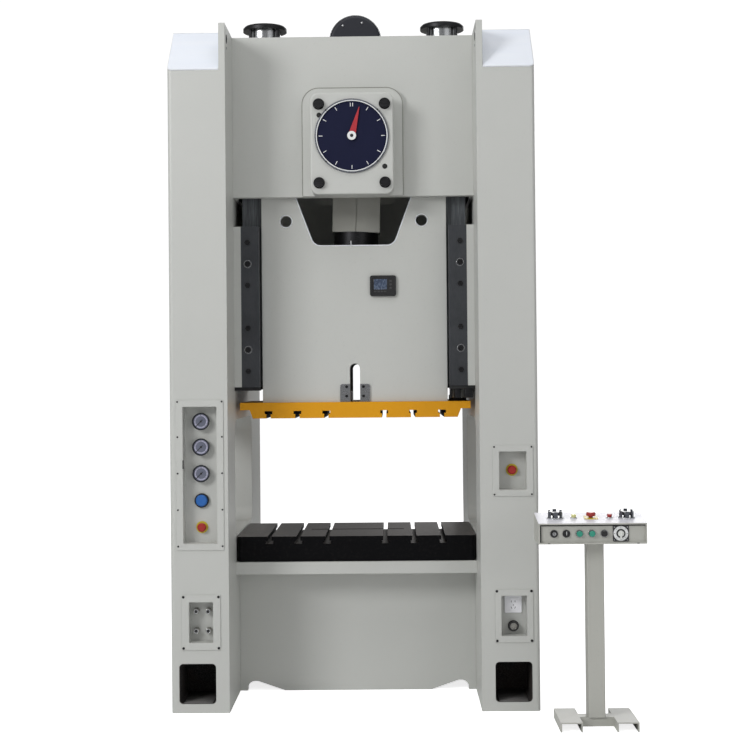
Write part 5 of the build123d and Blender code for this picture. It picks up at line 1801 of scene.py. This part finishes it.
@dataclass
class GuideDressing(Dressing):
    """The rings and sockets of the gib bolts, the wipers and the stop plate under the gibs.

    Attributes:
        bolt_x: Distance of the bolts from the middle.
        pitch: Distance from bolt to bolt.
        steps: Steps of the bolts from the middle.
        ringed: Steps that carry a bright ring.
        wiper_x: Distance of the wipers from the middle.
        wiper_backs: Depth of the wipers' backs at the front and at the rear guides.
        ribs: Place and width of each rib on that plate.
        rib_depth: Depth of the ribs.
        rib_edge: Width of the ribs' bevel.
    """

    bolt_x: float = 549.0
    face_y: float = -555.0
    head_y: float = -565.0
    middle_z: float = 2019.5
    pitch: float = 111.0
    steps: tuple[int, ...] = (-3, -2, -1, 1, 2, 3)
    ringed: tuple[int, ...] = (-2, 2)
    ring: Ring = Ring(20.5, 15.6, 2.5, 0.6)
    socket: Ring = Ring(11.0, 6.5, 1.2)
    bottom_z: float = 1604.0
    wiper: Block = Block(131.0, 18.0, 89.0, 2.0)
    wiper_x: float = 556.0
    wiper_backs: Pair = (-463.0, 93.0)
    stop: Block = Block(128.0, 46.0, 4.0, 1.0)
    ribs: Pairs = ((496.5, 9.0), (533.0, 30.0), (588.0, 44.0))
    rib_depth: float = 80.0
    rib_edge: float = 1.5

    def add_rings(self, form: Form, ring: Ring, steps: Sequence[int]) -> None:
        """Adds a ring at bolts of both gibs.

        Args:
            form: The piece they are added to.
            ring: Sizes of the ring.
            steps: Steps of the bolts from the middle.
        """
        for side in (-1, 1):
            for step in steps:
                form.ring(ring, (side * self.bolt_x, step * self.pitch))

    def build(self) -> None:
        """Builds the rings, sockets, wipers, the stop plate and its ribs."""
        face = Seat((0.0, self.face_y, self.middle_z))
        heads = Seat((0.0, self.head_y, self.middle_z))
        with self.piece("gib_rings", face, "bright_steel") as rings:
            self.add_rings(rings, self.ring, self.ringed)
        with self.piece("gib_bolt_sockets", heads, "black_steel") as sockets:
            self.add_rings(sockets, self.socket, self.steps)
        wiper_z = self.bottom_z - self.wiper.height / 2
        for row, out, back_y in zip(("front", "rear"), (-1.0, 1.0), self.wiper_backs):
            back = Seat((0.0, back_y, wiper_z), (0.0, out, 0.0))
            with self.piece(f"gib_wipers_{row}", back, "belt_rubber") as wipers:
                for side in (-1, 1):
                    wipers.slab(self.wiper, (side * self.wiper_x, 0.0))
        stop_z = self.bottom_z - self.wiper.height - self.stop.height / 2
        under = Seat((0.0, self.wiper_backs[0], stop_z))
        with self.piece("guide_stop_plate", under, "frame_paint") as plate:
            plate.slab(self.stop, (self.wiper_x, 0.0))
        with self.piece("guide_stop_ribs", under, "black_steel") as ribs:
            for x, width in self.ribs:
                rib = Block(width, self.stop.height, self.rib_depth, self.rib_edge)
                ribs.slab(rib, (x, 0.0), self.stop.depth)


@dataclass
class SlideDressing(Dressing):
    """The screws, the painted highlights on the hole rims and the window's edge, the strip and the
    display on the front of the slide.

    Attributes:
        hole_x: Distance of the lightening holes from the middle.
        window_bottom: Height of the window's lower edge.
        tab_place: Place of the pointer.
        strip_place: Place of that strip.
        display: Place of the display on the indicator.
        glass_at: Middle of the glass on the display.
        low_keys: Right and up of each of those keys.
        side_keys: Right and up of each of those keys.
    """

    front_y: float = -495.0
    bracket_y: float = -505.0
    bracket_screw: ScrewHead = ScrewHead(7.5, 5.0)
    bracket_xs: Pair = (-44.0, 44.0)
    bracket_zs: Pair = (1602.0, 1553.0)
    hole_x: float = 353.0
    hole_z: float = 2466.0
    rim: Ring = Ring(34.0, 29.0, 1.2, 0.5)
    window: Band = Band((412.0, 679.0), 360.0, 1.0, 46.0, 5.0)
    window_bottom: float = 2340.0
    tab: Block = Block(5.0, 34.0, 2.0, 0.8)
    tab_place: Point = (-15.0, -495.0, 2345.0)
    strip: Block = Block(92.0, 32.0, 10.0, 1.5)
    strip_place: Point = (534.0, -446.0, 1538.8)
    display: Point = (150.0, -507.0, 2125.0)
    glass: Block = Block(68.2, 54.12, 1.6, 0.5)
    glass_at: Pair = (-13.2, 8.2)
    low_key: Block = Block(12.0, 7.0, 2.2, 0.8)
    low_keys: Pairs = tuple((x, -29.52) for x in (-39.6, -22.6, -5.6, 11.4))
    side_key: Block = Block(12.0, 10.0, 2.2, 0.8)
    side_keys: Pairs = tuple((39.6, z) for z in (24.6, 6.6, -11.4))

    def build(self) -> None:
        """Builds the slide's dressing."""
        body = Body.SLIDE
        bracket = Seat((0.0, self.bracket_y, 0.0))
        with self.piece("bracket_screws", bracket, "black_steel", body=body) as screws:
            for x in self.bracket_xs:
                for z in self.bracket_zs:
                    screws.socket_screw(self.bracket_screw, (x, z))
        holes = Seat((0.0, self.front_y, self.hole_z))
        # Painted highlights: near-white rings on the chamfers round the lightening holes.
        with self.piece("lightening_rim_highlights", holes, "cover_sheet", body=body) as hole_highlights:
            for side in (-1, 1):
                hole_highlights.ring(self.rim, (side * self.hole_x, 0.0))
        front = Seat((0.0, self.front_y, 0.0))
        # Painted highlight: a near-white band along the window's chamfered edge.
        with self.piece("window_edge_highlight", front, "cover_sheet", body=body) as edge:
            edge.band(self.window, (0.0, self.window_bottom))
        with self.piece("height_tab", Seat(self.tab_place), "cover_sheet", body=body) as tab:
            tab.slab(self.tab)
        with self.piece("plate_strip", Seat(self.strip_place), "belt_rubber", body=body) as strip:
            strip.slab(self.strip)
        display = Seat(self.display)
        slot = "black_plastic"
        with self.piece("indicator_screen", display, "screen_glass", slot, body) as glass:
            glass.slab(self.glass, self.glass_at)
        with self.piece("indicator_keys", display, "grey_plastic", body=body) as keys:
            for place in self.low_keys:
                keys.slab(self.low_key, place)
            for place in self.side_keys:
                keys.slab(self.side_key, place)


@dataclass
class ConsoleDressing(Dressing):
    """The marks and small fixings of the two-hand console.

    Attributes:
        pointer_at: Middle of the line on the selector.
        cam_mark_circle: Radius of the circle of marks.
        cam_mark_count: Number of marks.
        cam_screws: Places of the corner screws on the plate.
        cam_lever_at: Middle of the lever on the switch.
        cam_lever_base: Height of the lever above the plate.
        shadow_strips: Sizes and place of each black strip of painted shade round the front panel.
        deck_tilt: Slope of the deck in degrees.
        deck_places: Name of each side, with its palm button's and its deck button's place.
    """

    control_z: float = 917.0
    switch_y: float = -1326.3
    key_x: float = 937.0
    key_ring: Ring = Ring(9.0, 6.0, 1.0, 0.3)
    key_core: Post = Post(6.0, 0.8, 0.2, 32)
    key_way_shade: Block = Block(1.8, 8.0, 0.4)
    selector_x: float = 994.0
    pointer: Block = Block(2.4, 18.0, 0.8, 0.3)
    pointer_at: Pair = (0.0, 3.0)
    plate_y: float = -1315.0
    cam_x: float = 1246.0
    cam_disc: Ring = Ring(34.0, 20.8, 0.8, 0.3)
    cam_mark: Block = Block(1.6, 5.0, 0.4)
    cam_mark_circle: float = 29.5
    cam_mark_count: int = 8
    cam_collar: Ring = Ring(20.8, 14.6, 2.4, 0.8)
    cam_screw: ScrewHead = ScrewHead(3.0, 1.2)
    cam_screws: Pairs = corners(30.0, 30.0)
    cam_lever: Block = Block(8.0, 14.0, 5.0, 1.2)
    cam_lever_at: Pair = (0.0, -18.0)
    cam_lever_base: float = 3.5
    button_xs: Point = (1055.0, 1113.0, 1170.0)
    button_trim: Ring = Ring(17.6, 14.5, 1.0)
    lip_y: float = -1325.0
    slot: Block = Block(11.0, 3.4, 0.5, 0.2)
    slot_z: float = 872.5
    slot_xs: Pair = (913.0, 1325.0)
    panel_y: float = -1311.0
    shadow_strips: tuple[tuple[Block, Pair], ...] = (
        (Block(488.0, 6.0, 4.0, 1.0), (1115.5, 955.5)),
        (Block(6.0, 76.0, 4.0, 1.0), (874.5, 914.0)),
    )
    deck_tilt: float = 8.28
    deck_y: float = -1219.0
    deck_z: float = 981.4
    palm_foot: Ring = Ring(39.5, 36.3, 6.0, 1.2)
    deck_bezel: Ring = Ring(16.5, 12.6, 4.0, 1.0)
    deck_places: tuple[tuple[str, float, float], ...] = (
        ("left", 953.0, 1040.0),
        ("right", 1287.0, 1208.0),
    )

    def deck(self, x: float) -> Seat:
        """Finds a place on the sloped deck.

        Args:
            x: Place across the console.

        Returns:
            The seat, which faces up and forward.
        """
        tilt = math.radians(self.deck_tilt)
        out = (0.0, -math.sin(tilt), math.cos(tilt))
        return Seat((x, self.deck_y, self.deck_z), out, (0.0, math.cos(tilt), math.sin(tilt)))

    def build_switches(self) -> None:
        """Builds the marks of the key switch and of the selector."""
        switch = Seat((self.key_x, self.switch_y, self.control_z))
        core = Seat((self.key_x, self.switch_y - self.key_core.height, self.control_z))
        knob = Seat((self.selector_x, self.switch_y, self.control_z))
        with self.piece("key_plug", switch, "bright_steel", body=Body.KEY) as plug:
            plug.ring(self.key_ring)
            plug.post(self.key_core)
        # Painted shade: a flat black mark stands in for the dark opening of the keyway.
        with self.piece("key_way_shade", core, "black_plastic", body=Body.KEY) as way:
            way.slab(self.key_way_shade)
        slot, body = "white_plastic", Body.SELECTOR
        with self.piece("selector_line", knob, "dial_white", slot, body) as line:
            line.slab(self.pointer, self.pointer_at)

    def build_cam_switch(self) -> None:
        """Builds the cam switch's disc, marks, collar, screws and lever."""
        plate = Seat((self.cam_x, self.plate_y, self.control_z))
        disc_top = Seat((self.cam_x, self.plate_y - self.cam_disc.height, self.control_z))
        with self.piece("cam_disc", plate, "dial_white", "white_plastic") as disc:
            disc.ring(self.cam_disc)
        with self.piece("cam_marks", disc_top, "black_plastic") as marks:
            for index in range(self.cam_mark_count):
                turn = math.tau * index / self.cam_mark_count
                at = on_circle(self.cam_mark_circle, turn)
                marks.slab(self.cam_mark, at, turn=math.degrees(turn))
        with self.piece("cam_collar", plate, "black_plastic") as collar:
            collar.ring(self.cam_collar)
        with self.piece("cam_screws", plate, "bright_steel") as screws:
            for place in self.cam_screws:
                screws.slot_screw(self.cam_screw, place)
        with self.piece("cam_lever", plate, "white_plastic", body=Body.CAM) as lever:
            lever.slab(self.cam_lever, self.cam_lever_at, self.cam_lever_base)

    def build_panel(self) -> None:
        """Builds the button trims and the painted shade of the drain slots and round the front
        panel.
        """
        bezels = Seat((0.0, self.plate_y, self.control_z))
        with self.piece("button_trims", bezels, "tube_steel") as trims:
            for x in self.button_xs:
                trims.ring(self.button_trim, (x, 0.0))
        lip = Seat((0.0, self.lip_y, self.slot_z))
        # Painted shade: flat black marks stand in for the dark openings of the drain slots.
        with self.piece("console_slot_shade", lip, "black_plastic") as slots:
            for x in self.slot_xs:
                slots.slab(self.slot, (x, 0.0))
        panel = Seat((0.0, self.panel_y, 0.0))
        # Painted shade: black strips under the deck's lip and along the panel's left end.
        with self.piece("console_painted_shade", panel, "belt_rubber") as shade_piece:
            for strip, place in self.shadow_strips:
                shade_piece.slab(strip, place)

    def build(self) -> None:
        """Builds the console's dressing."""
        self.build_switches()
        self.build_cam_switch()
        self.build_panel()
        for side, palm_x, deck_x in self.deck_places:
            with self.piece(f"palm_foot_{side}", self.deck(palm_x), "tube_steel") as foot:
                foot.ring(self.palm_foot)
            with self.piece(f"deck_bezel_{side}", self.deck(deck_x), "tube_steel") as bezel:
                bezel.ring(self.deck_bezel)


@dataclass
class MotorDressing(Dressing):
    """The small screws on the front of the motor's cowl, and its polished rim.

    Attributes:
        centre: Middle of the cowl's front.
        places: Right and up of each screw.
    """

    centre: Point = (0.0, 243.0, 3575.0)
    screw: ScrewHead = ScrewHead(7.0, 4.0)
    places: Pairs = ((-71.0, 87.0), (39.0, 102.0), (-71.0, -87.0), (71.0, -87.0))
    rim: Ring = Ring(149.6, 143.0, 11.0, 3.0)
    rim_y: float = 262.0

    def build(self) -> None:
        """Builds the screws and the rim."""
        with self.piece("cowl_screws", Seat(self.centre), "bright_steel") as screws:
            for place in self.places:
                screws.slot_screw(self.screw, place)
        back = Seat((self.centre[0], self.rim_y, self.centre[2]))
        with self.piece("cowl_rim", back, "tube_steel") as rim:
            rim.ring(self.rim)


@dataclass
class GuardDressing(Dressing):
    """The screws and the vent louvres on the back of the flywheel guard.

    Attributes:
        wheel: Across and up of the flywheel's axis.
        wheel_reach: Distance of the screws from that axis.
        wheel_turns: Turn of each of those screws in degrees.
        pulley: Across and up of the motor pulley's axis.
        pulley_reach: Distance of the screws from that axis.
        pulley_turns: Turn of each of those screws in degrees.
        louvre_rows: Heights of the louvres from the flywheel's axis.
    """

    rear_y: float = 869.0
    wheel: Pair = (250.0, 3234.1)
    wheel_reach: float = 340.0
    wheel_turns: tuple[float, ...] = (178.0, 214.0, 250.0, 286.0, 322.0, 358.0, 394.0, 434.0)
    pulley: Pair = (0.0, 3575.0)
    pulley_reach: float = 75.0
    pulley_turns: tuple[float, ...] = (76.0, 127.0, 177.0)
    screw: ScrewHead = ScrewHead(9.0, 4.0)
    louvre: Block = Block(170.0, 9.0, 3.0, 1.4)
    louvre_rows: tuple[float, ...] = (-60.0, -30.0, 0.0, 30.0, 60.0)

    def add_screws(self, form: Form, axis: Pair, reach: float, turns: Sequence[float]) -> None:
        """Adds screws round an axis on the guard's back.

        Args:
            form: The piece they are added to.
            axis: Across and up of the axis.
            reach: Distance of the screws from it.
            turns: Turn of each screw in degrees.
        """
        for turn in turns:
            angle = math.radians(turn)
            place = (-axis[0] - math.cos(angle) * reach, axis[1] + math.sin(angle) * reach)
            form.slot_screw(self.screw, place, turn)

    def build(self) -> None:
        """Builds the screws and louvres."""
        rearward = (0.0, 1.0, 0.0)
        back = Seat((0.0, self.rear_y, 0.0), rearward)
        with self.piece("guard_screws", back, "black_steel") as screws:
            self.add_screws(screws, self.wheel, self.wheel_reach, self.wheel_turns)
            self.add_screws(screws, self.pulley, self.pulley_reach, self.pulley_turns)
        level = Seat((0.0, self.rear_y, self.wheel[1]), rearward)
        with self.piece("guard_louvres", level, "black_steel") as louvres:
            for row in self.louvre_rows:
                louvres.slab(self.louvre, (-self.wheel[0], row))


@dataclass
class UprightDressing(Dressing):
    """The linings of the lifting holes high in the uprights, and the latch of the left panel.

    Attributes:
        inner_x: Distance of the uprights' inner sides from the middle.
        hole_place: Depth and height of a hole.
        bolt_at: Place of the bolt from the hole.
        latch_place: Place of the latch.
    """

    inner_x: float = 622.0
    hole_place: Pair = (-810.0, 3350.0)
    lining: Ring = Ring(17.9, 15.0, 28.0)
    flange: Ring = Ring(23.0, 15.0, 1.0, 0.3)
    bolt: ScrewHead = ScrewHead(8.0, 2.5)
    bolt_at: Pair = (0.0, -46.0)
    latch: Block = Block(6.5, 44.0, 3.0, 0.8)
    latch_place: Point = (-843.5, -889.0, 1227.0)

    def build(self) -> None:
        """Builds the linings, bolts and latch."""
        for name, side in (("left", -1.0), ("right", 1.0)):
            seat = Seat((side * self.inner_x, *self.hole_place), (-side, 0.0, 0.0))
            with self.piece(f"lifting_lining_{name}", seat, "belt_rubber") as lining:
                lining.ring(self.lining, base=-self.lining.height)
                lining.ring(self.flange)
            with self.piece(f"lifting_bolt_{name}", seat, "bright_steel") as bolt:
                bolt.slot_screw(self.bolt, self.bolt_at)
        with self.piece("panel_latch", Seat(self.latch_place), "black_plastic") as latch:
            latch.slab(self.latch)


@dataclass(frozen=True)
class AreaLamp:
    """One soft white lamp.

    Attributes:
        name: Name of the lamp.
        place: Where it hangs, in metres.
        target: Where it points, in metres.
        size: Width and height in metres.
        power: Power in watts.
    """

    name: str
    place: Point
    target: Point
    size: Pair
    power: float

    def build(self) -> None:
        """Hangs the lamp."""
        data = bpy.data.lights.new(self.name, "AREA")
        data.shape = "RECTANGLE"
        data.size, data.size_y = self.size
        data.energy = self.power
        lamp = bpy.data.objects.new(self.name, data)
        bpy.context.scene.collection.objects.link(lamp)
        away = Vector(self.place) - Vector(self.target)
        lamp.location = self.place
        lamp.rotation_euler = away.to_track_quat("Z", "Y").to_euler()
        LOG.info("lamp %s", self.name)


@dataclass(frozen=True)
class Studio:
    """A plain white room with a pale floor and soft light.

    Attributes:
        sky: Strength of the even light from all round.
        sky_colour: Colour of that light.
        shown: Brightness of the backdrop as the camera sees it.
        floor_size: Side of the floor in metres.
        floor_parts: Squares along each side of the floor.
        floor_tones: Darkest and palest colour of the floor.
        floor_clouds: Clouds of the floor's tone per metre.
        floor_roughness: Roughness of the floor.
        floor_glow: Brightness that lifts the floor to the backdrop's white, as the camera sees it.
        lamps: The soft lamps.
    """

    sky: float = 0.26
    sky_colour: Colour = (0.98, 0.99, 1.0, 1.0)
    shown: float = 1.05
    floor_size: float = 60.0
    floor_parts: int = 4
    floor_tones: tuple[Colour, Colour] = ((0.93, 0.93, 0.93, 1.0), (0.97, 0.97, 0.97, 1.0))
    floor_clouds: float = 0.6
    floor_roughness: float = 0.9
    floor_glow: float = 0.8
    lamps: tuple[AreaLamp, ...] = (
        AreaLamp("key", (-5.9, -7.5, 5.4), (0.0, 0.0, 1.8), (3.0, 3.0), 376.0),
        AreaLamp("fill", (5.5, -7.5, 3.0), (0.2, 0.0, 1.6), (5.0, 5.0), 78.0),
        AreaLamp("top", (0.3, -3.0, 8.0), (0.2, 0.0, 2.0), (6.0, 4.0), 130.0),
        AreaLamp("back", (3.5, 9.0, 5.5), (0.0, 0.0, 1.9), (5.0, 5.0), 265.0),
    )

    def build_world(self) -> None:
        """Builds the even light and the backdrop."""
        world = bpy.data.worlds.new("studio")
        world.use_nodes = True
        wiring = Wiring(world.node_tree)
        seen = wiring.add("ShaderNodeLightPath").outputs["Is Camera Ray"]
        light = {"Color": self.sky_colour, "Strength": self.sky}
        backdrop = {"Color": WHITE, "Strength": self.shown}
        lit = wiring.add("ShaderNodeBackground", light).outputs[0]
        plain = wiring.add("ShaderNodeBackground", backdrop).outputs[0]
        both = wiring.add("ShaderNodeMixShader", {0: seen, 1: lit, 2: plain}).outputs[0]
        wiring.add("ShaderNodeOutputWorld", {"Surface": both})
        bpy.context.scene.world = world

    def floor_material(self) -> bpy.types.Material:
        """Builds the floor's material.

        Returns:
            The material.
        """
        material = bpy.data.materials.new("studio_floor")
        material.use_nodes = True
        wiring = Wiring(material.node_tree)
        tone = wiring.noise(wiring.place(), self.floor_clouds)
        seen = wiring.add("ShaderNodeLightPath").outputs["Is Camera Ray"]
        surface = {
            "Base Color": wiring.mix(tone, *self.floor_tones),
            "Roughness": self.floor_roughness,
            "Emission Color": WHITE,
            "Emission Strength": wiring.product(seen, self.floor_glow),
        }
        shader = wiring.add("ShaderNodeBsdfPrincipled", surface)
        wiring.add("ShaderNodeOutputMaterial", {"Surface": shader.outputs["BSDF"]})
        return material

    def build_floor(self) -> None:
        """Builds the pale floor."""
        mesh = bmesh.new()
        parts = {"x_segments": self.floor_parts, "y_segments": self.floor_parts}
        bmesh.ops.create_grid(mesh, size=self.floor_size / 2, **parts)
        data = bpy.data.meshes.new("floor")
        mesh.to_mesh(data)
        mesh.free()
        floor = bpy.data.objects.new("floor", data)
        bpy.context.scene.collection.objects.link(floor)
        data.materials.append(self.floor_material())

    def build(self) -> None:
        """Builds the whole studio."""
        self.build_world()
        self.build_floor()
        for lamp in self.lamps:
            lamp.build()
        view = bpy.context.scene.view_settings
        view.view_transform = "Standard"
        view.look = "None"


@dataclass(frozen=True)
class PhotoCamera:
    """The camera that took the photograph.

    Attributes:
        place: Where it stood, in metres.
        yaw: Turn to the right in degrees.
        pitch: Tilt up in degrees.
        roll: Roll in degrees.
        lens: Focal length in millimetres.
        sensor: Width of the sensor in millimetres.
        shift: Shift of the picture across and up, as a share of its width.
    """

    place: Point = (0.192, -8.153, 1.658)
    yaw: float = -0.653
    pitch: float = 0.611
    roll: float = -0.521
    lens: float = 70.63
    sensor: float = 36.0
    shift: Pair = (0.0, -0.02)

    def turn(self) -> Matrix:
        """Works out how the camera is turned.

        Returns:
            The rotation, with the camera looking down its own negative Z axis.
        """
        yaw, pitch, roll = (math.radians(turn) for turn in (self.yaw, self.pitch, self.roll))
        reach = math.cos(pitch)
        ahead = Vector((math.sin(yaw) * reach, math.cos(yaw) * reach, math.sin(pitch)))
        level = Vector((math.cos(yaw), -math.sin(yaw), 0.0))
        over = level.cross(ahead)
        right = math.cos(roll) * level + math.sin(roll) * over
        up = math.cos(roll) * over - math.sin(roll) * level
        return Matrix((right, up, -ahead)).transposed().to_4x4()

    def build(self) -> None:
        """Builds the camera and makes it the scene's."""
        data = bpy.data.cameras.new("photo_camera")
        data.lens = self.lens
        data.sensor_width = self.sensor
        data.sensor_fit = "HORIZONTAL"
        data.shift_x, data.shift_y = self.shift
        data.dof.use_dof = False
        camera = bpy.data.objects.new("photo_camera", data)
        bpy.context.scene.collection.objects.link(camera)
        camera.matrix_world = Matrix.Translation(self.place) @ self.turn()
        bpy.context.scene.camera = camera
        LOG.info("camera at %s", self.place)


class Press:
    """The whole press: CAD nodes in their finishes, with all their dressing."""

    def __init__(self, frame: dict) -> None:
        """Collects the sub-assemblies.
        """
        self.frame = frame
        self.shelf = shelf = FinishShelf(FINISHES)
        small, large = ScrewHead(4.5, 2.7), ScrewHead(6.5, 3.9)
        rows = (1537.0, 1363.0, 1183.0, 1003.0, 823.0)
        panel = tuple((side, row) for side in (-110.0, 110.0) for row in rows)
        air, stop, power = corners(87.0, 126.0), corners(92.0, 117.0), corners(85.0, 122.0)
        self.dressing: tuple[Dressing, ...] = (
            DialDressing(shelf),
            BoxDressing(shelf, "panel_screws", (-761.0, -889.0, 0.0), panel, small),
            BoxDressing(shelf, "air_box_screws", (-761.0, -889.0, 447.0), air, large),
            BoxDressing(shelf, "stop_box_screws", (784.0, -889.0, 1184.0), stop, small),
            BoxDressing(shelf, "power_box_screws", (784.0, -889.0, 469.0), power, large),
            GaugeDressing(shelf),
            ServiceDressing(shelf),
            PocketDressing(shelf),
            GuideDressing(shelf),
            SlideDressing(shelf),
            ConsoleDressing(shelf),
            MotorDressing(shelf),
            GuardDressing(shelf),
            UprightDressing(shelf),
        )

    def build(self) -> None:
        """Dresses the CAD nodes and builds every added piece."""
        self.shelf.dress_nodes(self.frame)
        for group in self.dressing:
            group.build()


def main() -> None:
    """Builds the press, the studio and the camera."""
    logging.basicConfig(level=logging.INFO, format="%(name)s: %(message)s")
    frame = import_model()
    Press(frame).build()
    Studio().build()
    PhotoCamera().build()
    bpy.context.view_layer.update()


if __name__ == "__main__":
    main()
